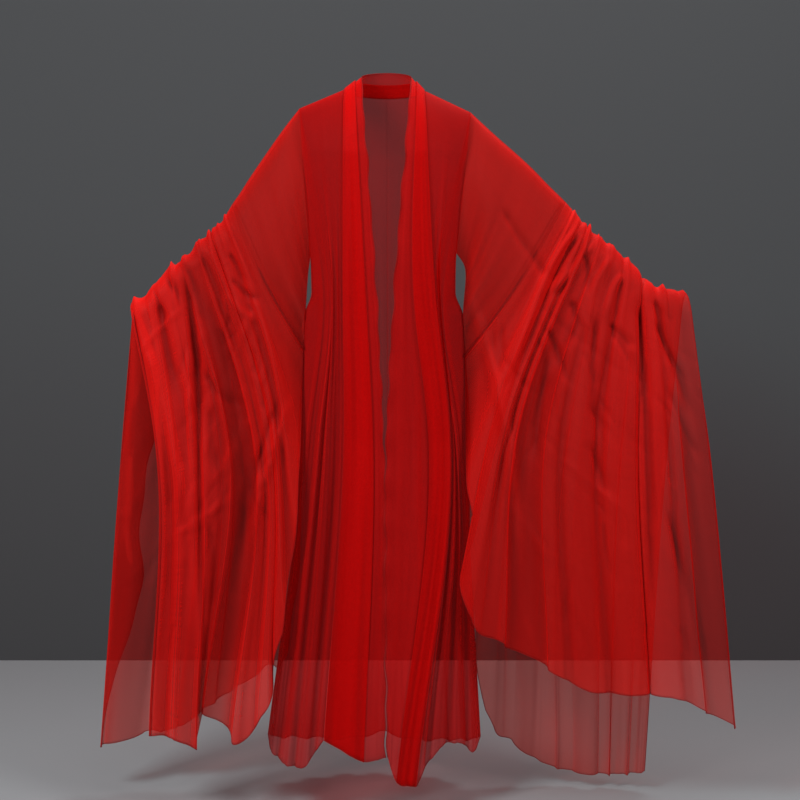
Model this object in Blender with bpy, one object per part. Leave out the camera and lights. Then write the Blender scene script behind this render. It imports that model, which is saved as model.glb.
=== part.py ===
"""Hanfu robe: a sheer open gown with very wide sleeve ends, in the shape it takes when it is worn.

The gown is sewn from nine pieces: two backs, two fronts, two upper sleeves, two sleeve ends and one
collar band. Each piece is a thin wall of cloth, worked out from tables of fold lines: a row of a table
is the crest of one fold, followed from where it hangs down to the hem. Between two crests the cloth
sinks into a trough. Units are metres, +Z is up and the front of the gown looks along -Y. Left and right
are those of a person who looks at the front of the gown. The origin is at the middle of the neck's base.
"""
import math

import bmesh
import bpy
import numpy as np

# Walls and seams
CLOTH = 0.0016          # wall of a single cloth
BAND = 0.0024           # wall of the doubled collar band
SEAM = 0.0003           # clear gap between two pieces at a seam

# General figure that the gown hangs on
ARM_RADIUS = 0.040      # reach of the cloth over the arm, to the front and to the back
SHOULDER_DROP = 0.110   # height in which the cloth turns over the shoulder
UNDERARM = 0.0015       # reach of the underarm fold, to the front and to the back
FOREARM_REACH = 0.030   # how far the wrists are held in front of the shoulders
ARM_START = 0.180       # where the arm starts, from the middle plane
ARM_SPAN = 0.430        # from there out to the wrist
CHEST_Z = -0.400        # heights at which the body tables give their x
WAIST_Z = -0.700
FRONT_DEPTH = ((0.05, 0.070), (-0.12, 0.110), (-0.36, 0.118), (-0.70, 0.128), (-1.45, 0.190))
BACK_DEPTH = ((0.05, 0.070), (-0.12, 0.105), (-0.36, 0.110), (-0.70, 0.125), (-1.45, 0.235))

# Neck opening: half ellipses round the back of the neck, in height and depth at the centre back
NECK_EDGE_BACK = (0.072, 0.046)     # y, z of the collar's free edge at the centre back
NECK_SEAM_BACK = (0.088, -0.006)    # y, z of the collar's seam at the centre back

# Steps of the walls
ARCH_STEPS = (0.0, 0.012, 0.028, 0.046, 0.066)    # along the cloth over the arm, in metres
FALL_STEPS = (0.14, 0.29, 0.46, 0.64, 0.82, 1.0)   # below the arm, as a share of what is left
BODY_STEPS = (0.0, 0.03, 0.075, 0.14, 0.23, 0.35, 0.49, 0.65, 0.82, 1.0)
PARTS_PER_FOLD = 3
NECK_PARTS = 4

RED = (0.60, 0.012, 0.014, 1.0)


def table(heading, *rows):
    """A table with named columns: the first column holds names, and the others numbers."""
    names = heading.split()
    columns = {names[0]: [row[0] for row in rows]}
    for place, name in enumerate(names[1:], start=1):
        columns[name] = np.array([row[place] for row in rows], float)
    return columns


# Collar band, from its free edge to its seam with the front. Each row is a line down the front:
# where it starts on the shoulder, then its x at chest, waist and hem, how far forward it lies as a
# share of the gown's depth, and how deep the cloth sinks before the next line.
BAND_COLUMNS = "line top_x top_z chest_x waist_x hem_x hem_z fore trough"
BAND_LEFT = table(
    BAND_COLUMNS,
    ("free_edge", -0.051, 0.036, -0.020, -0.0060, -0.0030, -1.335, 1.00, 0.002),
    ("fold", -0.066, 0.024, -0.045, -0.0300, -0.0500, -1.340, 1.02, 0.004),
    ("seam", -0.087, 0.008, -0.088, -0.0870, -0.1270, -1.300, 0.96, 0.000))
BAND_RIGHT = table(
    BAND_COLUMNS,
    ("free_edge", 0.050, 0.035, 0.015, -0.0005, 0.0015, -1.335, 1.00, 0.002),
    ("fold", 0.062, 0.022, 0.058, 0.0900, 0.0220, -1.385, 1.00, 0.004),
    ("seam", 0.077, 0.006, 0.098, 0.1280, 0.0600, -1.395, 0.94, 0.000))

# Fronts, from the collar seam to the side seam
FRONT_LEFT = table(
    BAND_COLUMNS,
    ("collar_seam", -0.087, 0.008, -0.088, -0.0870, -0.1270, -1.300, 0.96, 0.018),
    ("shoulder", -0.132, -0.010, -0.108, -0.1180, -0.1680, -1.362, 0.82, 0.022),
    ("armhole_top", -0.178, -0.030, -0.112, -0.1360, -0.2060, -1.366, 0.64, 0.020),
    ("armhole", -0.167, -0.180, -0.133, -0.1610, -0.2380, -1.352, 0.36, 0.006),
    ("side_seam", -0.157, -0.328, -0.155, -0.1700, -0.2500, -1.330, 0.00, 0.000))
FRONT_RIGHT = table(
    BAND_COLUMNS,
    ("collar_seam", 0.077, 0.006, 0.098, 0.1280, 0.0600, -1.395, 0.94, 0.022),
    ("shoulder", 0.123, -0.015, 0.108, 0.1350, 0.0980, -1.335, 0.82, 0.024),
    ("armhole_top", 0.171, -0.038, 0.100, 0.1390, 0.1420, -1.320, 0.64, 0.022),
    ("armhole", 0.157, -0.180, 0.118, 0.1510, 0.1780, -1.352, 0.36, 0.006),
    ("side_seam", 0.142, -0.322, 0.141, 0.1590, 0.1960, -1.335, 0.00, 0.000))

# Backs, from the centre seam to the side seam
BACK_LEFT = table(
    BAND_COLUMNS,
    ("centre_seam", 0.000, -0.006, 0.000, 0.0000, -0.0100, -1.380, 1.00, 0.020),
    ("neck", -0.087, 0.008, -0.060, -0.0560, -0.0800, -1.392, 0.96, 0.024),
    ("shoulder", -0.132, -0.010, -0.096, -0.1000, -0.1500, -1.384, 0.84, 0.024),
    ("armhole_top", -0.178, -0.030, -0.110, -0.1300, -0.2040, -1.372, 0.66, 0.020),
    ("armhole", -0.167, -0.180, -0.133, -0.1590, -0.2380, -1.355, 0.36, 0.006),
    ("side_seam", -0.157, -0.328, -0.155, -0.1700, -0.2500, -1.330, 0.00, 0.000))
BACK_RIGHT = table(
    BAND_COLUMNS,
    ("centre_seam", 0.000, -0.006, 0.000, 0.0000, -0.0100, -1.380, 1.00, 0.022),
    ("neck", 0.077, 0.006, 0.056, 0.0540, 0.0600, -1.395, 0.96, 0.024),
    ("shoulder", 0.123, -0.015, 0.088, 0.0960, 0.1160, -1.388, 0.84, 0.022),
    ("armhole_top", 0.171, -0.038, 0.098, 0.1230, 0.1560, -1.378, 0.66, 0.020),
    ("armhole", 0.157, -0.180, 0.118, 0.1480, 0.1840, -1.360, 0.36, 0.006),
    ("side_seam", 0.142, -0.322, 0.141, 0.1590, 0.1960, -1.335, 0.00, 0.000))

# Sleeves, from the armhole to the cuff. Each row is the crest of a fold: where it lies on the arm, the
# point where it bends, its end at the lower edge, the depths of those two in front of the arm, how deep
# the cloth sinks before the next fold, and how far that trough is tucked sideways.
SLEEVE_COLUMNS = "fold arm_x arm_z bend_x bend_z bend_y end_x end_z end_y trough tuck"
SLEEVE_LEFT_FRONT = table(
    SLEEVE_COLUMNS,
    ("biceps", -0.217, -0.080, -0.196, -0.220, 0.075, -0.163, -0.375, 0.006, 0.000, 0.000),
    ("elbow", -0.275, -0.163, -0.228, -0.300, 0.072, -0.168, -0.450, 0.006, 0.004, 0.000),
    ("seam", -0.317, -0.226, -0.256, -0.372, 0.068, -0.173, -0.524, 0.006, 0.010, 0.000),
    ("lapped_fold", -0.334, -0.251, -0.240, -0.499, 0.080, -0.180, -0.785, 0.085, 0.014, 0.004),
    ("inner_corner", -0.351, -0.268, -0.236, -0.620, 0.092, -0.210, -1.088, 0.128, 0.022, -0.008),
    ("narrow_strip_in", -0.368, -0.286, -0.246, -0.681, 0.098, -0.256, -1.262, 0.132, 0.012, 0.000),
    ("narrow_strip_out", -0.390, -0.300, -0.268, -0.721, 0.100, -0.312, -1.318, 0.130, 0.040, 0.016),
    ("wide_strip_in", -0.420, -0.335, -0.318, -0.721, 0.102, -0.374, -1.240, 0.128, 0.018, 0.006),
    ("wide_strip_tip", -0.446, -0.351, -0.376, -0.721, 0.098, -0.386, -1.326, 0.124, 0.014, 0.006),
    ("wide_strip_mid", -0.483, -0.394, -0.426, -0.722, 0.092, -0.434, -1.307, 0.114, 0.012, 0.004),
    ("cuff", -0.523, -0.423, -0.468, -0.703, 0.075, -0.484, -1.302, 0.100, 0.000, 0.000))
SLEEVE_LEFT_BACK = table(
    SLEEVE_COLUMNS,
    ("biceps", -0.217, -0.080, -0.196, -0.220, 0.075, -0.163, -0.375, 0.006, 0.000, 0.000),
    ("elbow", -0.275, -0.163, -0.228, -0.300, 0.072, -0.168, -0.450, 0.006, 0.004, 0.000),
    ("seam", -0.317, -0.226, -0.256, -0.372, 0.068, -0.173, -0.524, 0.006, 0.010, 0.000),
    ("lapped_fold", -0.334, -0.251, -0.246, -0.560, 0.080, -0.184, -0.891, 0.085, 0.012, 0.004),
    ("inner_corner", -0.351, -0.268, -0.248, -0.700, 0.088, -0.214, -1.183, 0.115, 0.020, -0.006),
    ("inner_fold", -0.368, -0.286, -0.270, -0.741, 0.090, -0.262, -1.210, 0.120, 0.024, 0.006),
    ("second_fold", -0.390, -0.300, -0.304, -0.784, 0.092, -0.336, -1.265, 0.118, 0.020, -0.006),
    ("third_fold", -0.420, -0.335, -0.350, -0.806, 0.092, -0.397, -1.300, 0.116, 0.024, 0.006),
    ("fourth_fold", -0.446, -0.351, -0.401, -0.827, 0.090, -0.452, -1.340, 0.112, 0.020, -0.004),
    ("fifth_fold", -0.483, -0.394, -0.472, -0.840, 0.086, -0.520, -1.345, 0.106, 0.026, 0.012),
    ("cuff", -0.523, -0.423, -0.562, -0.803, 0.072, -0.610, -1.372, 0.085, 0.000, 0.000))
SLEEVE_RIGHT_FRONT = table(
    SLEEVE_COLUMNS,
    ("biceps", 0.220, -0.083, 0.200, -0.220, 0.075, 0.162, -0.362, 0.006, 0.000, 0.000),
    ("elbow", 0.290, -0.145, 0.228, -0.300, 0.072, 0.157, -0.452, 0.006, 0.004, 0.000),
    ("seam", 0.365, -0.220, 0.262, -0.398, 0.068, 0.161, -0.540, 0.006, 0.010, 0.000),
    ("lapped_fold", 0.386, -0.242, 0.254, -0.519, 0.080, 0.162, -0.795, 0.090, 0.026, 0.016),
    ("inner_corner", 0.403, -0.259, 0.246, -0.640, 0.096, 0.172, -1.060, 0.132, 0.014, 0.000),
    ("first_ridge", 0.418, -0.274, 0.268, -0.681, 0.100, 0.240, -1.111, 0.132, 0.026, -0.012),
    ("second_ridge", 0.436, -0.289, 0.322, -0.680, 0.102, 0.326, -1.164, 0.130, 0.014, 0.000),
    ("third_ridge", 0.465, -0.312, 0.392, -0.700, 0.102, 0.413, -1.207, 0.130, 0.020, 0.008),
    ("fourth_ridge", 0.502, -0.345, 0.468, -0.700, 0.100, 0.494, -1.213, 0.126, 0.036, 0.018),
    ("fifth_ridge", 0.535, -0.380, 0.544, -0.721, 0.096, 0.574, -1.218, 0.118, 0.014, 0.000),
    ("sixth_ridge", 0.572, -0.394, 0.596, -0.701, 0.088, 0.649, -1.249, 0.108, 0.020, -0.010),
    ("cuff", 0.612, -0.406, 0.650, -0.713, 0.075, 0.708, -1.289, 0.095, 0.000, 0.000))
SLEEVE_RIGHT_BACK = table(
    SLEEVE_COLUMNS,
    ("biceps", 0.220, -0.083, 0.200, -0.220, 0.075, 0.162, -0.362, 0.006, 0.000, 0.000),
    ("elbow", 0.290, -0.145, 0.228, -0.300, 0.072, 0.157, -0.452, 0.006, 0.004, 0.000),
    ("seam", 0.365, -0.220, 0.262, -0.398, 0.068, 0.161, -0.540, 0.006, 0.010, 0.000),
    ("lapped_fold", 0.386, -0.242, 0.262, -0.613, 0.080, 0.172, -0.960, 0.090, 0.014, 0.004),
    ("inner_corner", 0.403, -0.259, 0.260, -0.740, 0.088, 0.212, -1.310, 0.120, 0.018, 0.006),
    ("inner_fold", 0.418, -0.274, 0.292, -0.790, 0.090, 0.268, -1.372, 0.122, 0.020, -0.006),
    ("second_fold", 0.436, -0.289, 0.340, -0.800, 0.092, 0.330, -1.420, 0.122, 0.018, 0.006),
    ("third_fold", 0.465, -0.312, 0.398, -0.810, 0.092, 0.398, -1.436, 0.120, 0.022, -0.006),
    ("fourth_fold", 0.502, -0.345, 0.458, -0.815, 0.090, 0.452, -1.440, 0.116, 0.020, 0.006),
    ("fifth_fold", 0.535, -0.380, 0.510, -0.815, 0.086, 0.494, -1.438, 0.108, 0.018, 0.004),
    ("sixth_fold", 0.572, -0.394, 0.550, -0.800, 0.080, 0.526, -1.432, 0.098, 0.012, 0.000),
    ("cuff", 0.612, -0.406, 0.582, -0.790, 0.070, 0.548, -1.425, 0.085, 0.000, 0.000))
SEAM_ROW = 3            # place of the row "seam" once the armhole stands before the other rows


def through(places, values, at):
    """Smooth cubic curve through values at rising places, with slopes taken from the neighbours."""
    places = np.asarray(places, float)
    values = np.asarray(values, float)
    at = np.asarray(at, float)
    slopes = np.gradient(values, places, axis=0)
    low = np.clip(np.searchsorted(places, at, side="right") - 1, 0, len(places) - 2)
    step = places[low + 1] - places[low]
    share = (at - places[low]) / step
    spread = (slice(None),) + (None,) * (values.ndim - 1)
    step = step[spread]
    share = share[spread]
    hold = 2 * share**3 - 3 * share**2 + 1
    leave = share**3 - 2 * share**2 + share
    arrive = share**3 - share**2
    return (hold * values[low] + leave * step * slopes[low]
            + (1 - hold) * values[low + 1] + arrive * step * slopes[low + 1])


def turned_over(drop, radius):
    """Share of the full depth that the cloth has reached at a drop below the line it hangs over."""
    rest = 1.0 - np.clip(drop / radius, 0.0, 1.0)
    return np.sqrt(np.clip(1.0 - rest**2, 0.0, 1.0))


def eased(share):
    """Soft step from 0 to 1."""
    share = np.clip(share, 0.0, 1.0)
    return share * share * (3.0 - 2.0 * share)


def depth_at(profile, height):
    """Depth of the gown at a height, from a profile of heights and depths."""
    heights = [point[0] for point in reversed(profile)]
    depths = [point[1] for point in reversed(profile)]
    return np.interp(height, heights, depths)


def armhole(front, side, share):
    """Armhole of one half: from the top of the shoulder, bowed out, down to the underarm."""
    top = np.array((front["top_x"][2], front["top_z"][2]))
    middle = np.array((front["top_x"][3], front["top_z"][3]))
    under = np.array((front["top_x"][4], front["top_z"][4]))
    line = through((0.0, 0.5, 1.0), (top, middle, under), share)
    bow = 0.052 * np.sin(math.pi * np.clip(share, 0.0, 1.0))**0.75 + UNDERARM * share**8
    return np.stack((line[:, 0], side * bow, line[:, 1]), axis=1)


def sleeve_shares(length):
    """Places along a fold of the given length: fine steps over the arm and wide steps below it."""
    arch = np.array(ARCH_STEPS)
    fall = arch[-1] + (length - arch[-1]) * np.array(FALL_STEPS)
    return np.concatenate((arch, fall)) / length


def sleeve_half(rows, front, side):
    """One half of a sleeve, front or back: a grid of crests by steps down from the arm."""
    armhole_line = armhole(front, side, np.linspace(0.0, 1.0, 60))
    armhole_length = np.linalg.norm(np.diff(armhole_line, axis=0), axis=1).sum()
    crests = [armhole(front, side, sleeve_shares(armhole_length))]
    for row in range(len(rows["fold"])):
        arm = np.array((rows["arm_x"][row], rows["arm_z"][row]))
        bend = np.array((rows["bend_x"][row], rows["bend_z"][row]))
        end = np.array((rows["end_x"][row], rows["end_z"][row]))
        upper = np.linalg.norm(bend - arm)
        length = upper + np.linalg.norm(end - bend)
        places = (0.0, upper / length, 1.0)
        shares = sleeve_shares(length)
        line = through(places, (arm, bend, end), shares)
        depths = (ARM_RADIUS, rows["bend_y"][row], rows["end_y"][row])
        depth = through(places, depths, shares)
        depth = depth * turned_over(arm[1] - line[:, 1], ARM_RADIUS)
        crests.append(np.stack((line[:, 0], side * depth, line[:, 1]), axis=1))
    return np.array(crests)


def gathered(crests, trough, tuck, side, columns):
    """Cloth through the crests, sunk into a trough between each two of them."""
    crest_count = len(crests)
    cloth = through(np.arange(crest_count), crests, columns)
    gap = np.clip(np.floor(columns).astype(int), 0, crest_count - 2)
    turn = 2.0 * math.pi * (columns - gap)
    drop = cloth[:, :1, 2] - cloth[:, :, 2]
    over = np.clip(1.0 - drop / ARM_RADIUS, 0.0, 1.0)
    growth = 0.30 + 0.70 * eased(drop / 0.35)
    sunk = trough[gap, None] * 0.5 * (1.0 - np.cos(turn))[:, None] * growth
    cloth[:, :, 1] -= side * sunk * (1.0 - over)
    cloth[:, :, 2] -= sunk * over
    cloth[:, :, 0] += tuck[gap, None] * np.sin(turn)[:, None] * growth
    return cloth


def sleeve_grid(front_rows, back_rows, front, columns):
    """A whole sleeve: crests by steps, from the front's lower edge over the arm to the back's."""
    halves = []
    for rows, side in ((front_rows, -1.0), (back_rows, 1.0)):
        crests = sleeve_half(rows, front, side)
        trough = np.concatenate(((0.0,), rows["trough"]))
        tuck = np.concatenate(((0.0,), rows["tuck"]))
        halves.append(gathered(crests, trough, tuck, side, columns))
    cloth = np.concatenate((halves[0][:, ::-1], halves[1][:, 1:]), axis=1)
    cloth[:, :, 1] -= FOREARM_REACH * eased((np.abs(cloth[:, :, 0]) - ARM_START) / ARM_SPAN)
    return cloth


def body_panel(rows, profile, side, columns, tops):
    """A panel of the gown's body: columns across it by steps down from the shoulder to the hem.

    tops gives the exact upper end of each column, on the neck, the shoulder or the armhole.
    """
    count = len(rows["line"])
    places = np.arange(count)
    gap = np.clip(np.floor(columns).astype(int), 0, count - 2)
    turn = 2.0 * math.pi * (columns - gap)
    fore = through(places, rows["fore"], columns)
    hem_z = through(places, rows["hem_z"], columns)
    across = {name: through(places, rows[name], columns) for name in ("chest_x", "waist_x", "hem_x")}
    cloth = np.zeros((len(columns), len(BODY_STEPS), 3))
    for column in range(len(columns)):
        top = tops[column]
        height = top[2] + (hem_z[column] - top[2]) * np.array(BODY_STEPS)
        stations = (hem_z[column], WAIST_Z, CHEST_Z, top[2])
        widths = (across["hem_x"][column], across["waist_x"][column], across["chest_x"][column], top[0])
        drop = top[2] - height
        depth = fore[column] * depth_at(profile, height)
        reach = abs(top[1]) + (depth - abs(top[1])) * turned_over(drop, SHOULDER_DROP)
        reach = np.where(drop > 0.0, reach, side * top[1])
        fall = eased(drop / 0.9) * (0.5 * (1.0 - math.cos(turn[column]))) * rows["trough"][gap[column]]
        cloth[column, :, 0] = through(stations, widths, height)
        cloth[column, :, 1] = side * (reach - fall * min(1.0, 2.0 * fore[column]))
        cloth[column, :, 2] = height
    cloth[:, 0] = tops
    return cloth


def half_ring(side_point, centre_back, angle):
    """Half ellipse from a point at the side of the neck round to the centre back."""
    turn = np.sin(angle)
    return np.stack((side_point[0] * np.cos(angle),
                     centre_back[0] * turn,
                     side_point[1] + (centre_back[1] - side_point[1]) * turn), axis=1)


def fold_columns(first, last):
    """Columns from one row to another, with the same number of parts in each fold."""
    return np.linspace(first, last, (last - first) * PARTS_PER_FOLD + 1)


def armhole_columns(front, side):
    """Shares of the armhole at which both the sleeve and the body have a column."""
    line = armhole(front, side, np.linspace(0.0, 1.0, 60))
    return sleeve_shares(np.linalg.norm(np.diff(line, axis=0), axis=1).sum())


def shoulder_points(front, share):
    """Points on the shoulder seam, from the collar to the top of the armhole."""
    start = np.array((front["top_x"][0], 0.0, front["top_z"][0]))
    end = np.array((front["top_x"][2], 0.0, front["top_z"][2]))
    return start + (end - start) * share[:, None]


def front_grid(front):
    """A front, from its collar seam to its side seam."""
    shares = armhole_columns(front, -1.0)
    shoulder = fold_columns(0, 2)
    tops = np.concatenate((shoulder_points(front, shoulder / 2.0), armhole(front, -1.0, shares)[1:]))
    columns = np.concatenate((shoulder, 2.0 + 2.0 * shares[1:]))
    panel = body_panel(front, FRONT_DEPTH, -1.0, columns, tops)
    panel[-1, 1:, 1] = 0.0
    return panel


def back_grid(back, front):
    """A back, from the centre seam to its side seam."""
    shares = armhole_columns(front, 1.0)
    neck = np.linspace(0.0, 1.0, NECK_PARTS + 1)
    neck_side = (front["top_x"][0], front["top_z"][0])
    neck_tops = half_ring(neck_side, NECK_SEAM_BACK, (1.0 - neck) * math.pi / 2)
    shoulder = fold_columns(0, 2)[1:]
    tops = np.concatenate((neck_tops, shoulder_points(front, shoulder / 2.0),
                           armhole(front, 1.0, shares)[1:]))
    columns = np.concatenate((neck, 1.0 + shoulder, 3.0 + 2.0 * shares[1:]))
    panel = body_panel(back, BACK_DEPTH, 1.0, columns, tops)
    panel[-1, 1:, 1] = 0.0
    return panel


def band_half(band):
    """One half of the collar band: up the front, over the shoulder and round to the centre back."""
    columns = fold_columns(0, 2)
    places = np.arange(3)
    tops = np.stack((through(places, band["top_x"], columns), np.zeros(len(columns)),
                     through(places, band["top_z"], columns)), axis=1)
    tops[0] = (band["top_x"][0], 0.0, band["top_z"][0])
    tops[-1] = (band["top_x"][2], 0.0, band["top_z"][2])
    falling = body_panel(band, FRONT_DEPTH, -1.0, columns, tops)
    share = columns[:, None] / 2.0
    angle = np.linspace(0.0, math.pi / 2, NECK_PARTS + 1)[1:]
    centre = np.array(NECK_EDGE_BACK) + (np.array(NECK_SEAM_BACK) - np.array(NECK_EDGE_BACK)) * share
    behind = np.array([half_ring((top[0], top[2]), middle, angle) for top, middle in zip(tops, centre)])
    return np.concatenate((falling[:, ::-1], behind), axis=1)


def surface_normals(grid, ring):
    """Unit normals of a grid, turned away from the middle plane of the gown."""
    if ring:
        padded = np.concatenate((grid[:, -1:], grid, grid[:, :1]), axis=1)
        along = (padded[:, 2:] - padded[:, :-2])
    else:
        along = np.gradient(grid, axis=1)
    across = np.gradient(grid, axis=0)
    normals = np.cross(across, along)
    normals /= np.maximum(np.linalg.norm(normals, axis=2, keepdims=True), 1e-12)
    if (normals[:, :, 1] * grid[:, :, 1]).sum() < 0.0:
        normals = -normals
    return normals


def share_normals(pieces):
    """Give the points that pieces share at their seams one common normal."""
    sums = {}
    for piece in pieces:
        for point, normal in zip(piece["grid"].reshape(-1, 3), piece["normals"].reshape(-1, 3)):
            key = tuple(np.round(point, 5))
            sums[key] = sums.get(key, 0.0) + normal
    for piece in pieces:
        flat = piece["normals"].reshape(-1, 3)
        for place, point in enumerate(piece["grid"].reshape(-1, 3)):
            total = sums[tuple(np.round(point, 5))]
            flat[place] = total / np.linalg.norm(total)


def drawn_back(grid, sides):
    """Draw the seam edges of a grid back by half of the gap that a seam leaves."""
    grid = grid.copy()
    half = 0.6 * SEAM
    edges = {"first": (0, 1, 0), "last": (-1, -2, 0), "start": (0, 1, 1), "stop": (-1, -2, 1)}
    for name in sides:
        edge, beside, axis = edges[name]
        line = np.take(grid, edge, axis=axis)
        inward = np.take(grid, beside, axis=axis) - line
        inward /= np.maximum(np.linalg.norm(inward, axis=-1, keepdims=True), 1e-9)
        moved = line + half * inward
        if axis == 0:
            grid[edge] = moved
        else:
            grid[:, edge] = moved
    return grid


def cloth_wall(name, grid, normals, wall, ring, material):
    """A closed thin solid on both sides of a grid of points, added to the scene."""
    columns, steps = grid.shape[:2]
    mesh = bmesh.new()
    sheets = []
    for direction in (0.5, -0.5):
        points = grid + direction * wall * normals
        sheets.append([[mesh.verts.new(point) for point in line] for line in points])
    outer, inner = sheets
    last = steps if ring else steps - 1
    for column in range(columns - 1):
        for step in range(last):
            following = (step + 1) % steps
            for sheet in sheets:
                mesh.faces.new((sheet[column][step], sheet[column + 1][step],
                                sheet[column + 1][following], sheet[column][following]))
    for column in (0, columns - 1):
        for step in range(last):
            following = (step + 1) % steps
            mesh.faces.new((outer[column][step], outer[column][following],
                            inner[column][following], inner[column][step]))
    if not ring:
        for step in (0, steps - 1):
            for column in range(columns - 1):
                mesh.faces.new((outer[column][step], outer[column + 1][step],
                                inner[column + 1][step], inner[column][step]))
    bmesh.ops.recalc_face_normals(mesh, faces=mesh.faces)
    bmesh.ops.triangulate(mesh, faces=mesh.faces)
    data = bpy.data.meshes.new(name)
    mesh.to_mesh(data)
    mesh.free()
    data.shade_smooth()
    data.materials.append(material)
    piece = bpy.data.objects.new(name, data)
    bpy.context.scene.collection.objects.link(piece)
    return piece


def red_cloth(name, roughness):
    """Thin dyed cloth of one colour."""
    material = bpy.data.materials.new(name)
    material.use_nodes = True
    shader = material.node_tree.nodes["Principled BSDF"]
    shader.inputs["Base Color"].default_value = RED
    shader.inputs["Roughness"].default_value = roughness
    shader.inputs["Metallic"].default_value = 0.0
    material.diffuse_color = RED
    return material


def sleeve_pieces(side_name, front_rows, back_rows, front):
    """The upper sleeve, a closed tube, and the sleeve end, a cloth laid over the forearm."""
    count = len(front_rows["fold"])
    upper = sleeve_grid(front_rows, back_rows, front, np.linspace(0, SEAM_ROW, 2 * SEAM_ROW + 1))
    lower = sleeve_grid(front_rows, back_rows, front, fold_columns(SEAM_ROW, count))
    return [
        {"name": "sleeve_" + side_name, "grid": upper, "wall": CLOTH, "ring": True,
         "seams": ("first", "last")},
        {"name": "sleeve_end_" + side_name, "grid": lower, "wall": CLOTH, "ring": False,
         "seams": ("first",)}]


def robe_pieces():
    """All nine pieces, each with its grid, its wall and the edges at which it is sewn."""
    pieces = []
    for side_name, front in (("left", FRONT_LEFT), ("right", FRONT_RIGHT)):
        pieces.append({"name": "front_" + side_name, "grid": front_grid(front), "wall": CLOTH,
                       "ring": False, "seams": ("first", "last", "start")})
    for side_name, back, front in (("left", BACK_LEFT, FRONT_LEFT), ("right", BACK_RIGHT, FRONT_RIGHT)):
        pieces.append({"name": "back_" + side_name, "grid": back_grid(back, front), "wall": CLOTH,
                       "ring": False, "seams": ("first", "last", "start")})
    pieces += sleeve_pieces("left", SLEEVE_LEFT_FRONT, SLEEVE_LEFT_BACK, FRONT_LEFT)
    pieces += sleeve_pieces("right", SLEEVE_RIGHT_FRONT, SLEEVE_RIGHT_BACK, FRONT_RIGHT)
    halves = [band_half(band) for band in (BAND_LEFT, BAND_RIGHT)]
    band = np.concatenate((halves[0], halves[1][:, -2::-1]), axis=1)
    pieces.append({"name": "collar_band", "grid": band, "wall": BAND, "ring": False,
                   "seams": ("last",)})
    return pieces


def main():
    """Clear the scene and make the robe."""
    for old in list(bpy.data.objects):
        bpy.data.objects.remove(old, do_unlink=True)
    pieces = robe_pieces()
    for piece in pieces:
        piece["normals"] = surface_normals(piece["grid"], piece["ring"])
    share_normals(pieces)
    for piece in pieces:
        material = red_cloth(piece["name"] + "_cloth", 0.55)
        grid = drawn_back(piece["grid"], piece["seams"])
        cloth_wall(piece["name"], grid, piece["normals"], piece["wall"], piece["ring"], material)


main()
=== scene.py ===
# %% [markdown]
# # A sheer hanfu robe, step by step
# The real robe is a dashan: an open gown of very thin red chiffon with a long collar band and sleeves
# that end in a wide hanging cloth. It is nothing but cloth, so the whole lesson is about thin curved
# surfaces: each panel is worked out with numpy as a grid of points, put into a mesh, given a tiny
# thickness, and coloured with a material that lets part of the light through.
# All lengths are metres. The front of the robe looks along -Y, and left and right are the onlooker's.

# %% Load the fixed frame
import math

import bpy
import numpy as np
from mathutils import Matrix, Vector


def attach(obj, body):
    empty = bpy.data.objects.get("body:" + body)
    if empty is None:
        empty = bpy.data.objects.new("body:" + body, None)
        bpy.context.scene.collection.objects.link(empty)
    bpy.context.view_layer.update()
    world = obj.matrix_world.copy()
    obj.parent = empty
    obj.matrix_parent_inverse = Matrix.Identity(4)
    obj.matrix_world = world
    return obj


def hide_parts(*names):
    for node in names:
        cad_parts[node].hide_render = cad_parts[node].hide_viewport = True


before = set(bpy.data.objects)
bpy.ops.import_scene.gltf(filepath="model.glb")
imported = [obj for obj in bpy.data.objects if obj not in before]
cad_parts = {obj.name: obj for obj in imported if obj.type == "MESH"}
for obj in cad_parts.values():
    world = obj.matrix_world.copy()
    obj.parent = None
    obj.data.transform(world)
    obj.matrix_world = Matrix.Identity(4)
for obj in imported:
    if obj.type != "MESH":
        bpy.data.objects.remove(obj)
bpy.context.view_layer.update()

# %% [markdown]
# ## Fold tables
# A draped cloth is easiest to describe by its folds. Each row below is one line down the cloth, such
# as the crest of a fold, and the columns say where that line runs. The same tables shape the solids
# of the part, so every surface made here lies on its solid. A simulation could find the folds too,
# but the folds of this robe were pushed up and laid by hand, so a table holds them better.

# %% Named tables
SHOULDER_DROP = 0.110  # the gown has its full depth this far below its upper edge
ARM_RADIUS = 0.040  # of the cloth where it lies over the arm
UNDERARM = 0.0015  # half the gap between front and back at the underarm
FOREARM_REACH = 0.030  # how far the bent forearm brings the cuff forward
ARM_START = 0.180  # distance from the middle at which that starts
ARM_SPAN = 0.430  # distance over which it grows
CHEST = -0.400
WAIST = -0.700
# The gown's profile: a height and the depth there, measured from the plane of the side seams
FRONT_DEPTH = ((0.05, 0.070), (-0.12, 0.110), (-0.36, 0.118), (-0.70, 0.128), (-1.45, 0.190))
BACK_DEPTH = ((0.05, 0.070), (-0.12, 0.105), (-0.36, 0.110), (-0.70, 0.125), (-1.45, 0.235))
# Depth and height of the band's two edges at the centre of the neck's back
NECK_EDGE_BACK = (0.072, 0.046)
NECK_SEAM_BACK = (0.088, -0.006)


def table(heading, *rows):
    """A table with named columns: the first column holds names, and the others numbers."""
    names = heading.split()
    columns = {names[0]: [row[0] for row in rows]}
    for place, name in enumerate(names[1:], start=1):
        columns[name] = np.array([row[place] for row in rows], float)
    return columns


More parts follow.
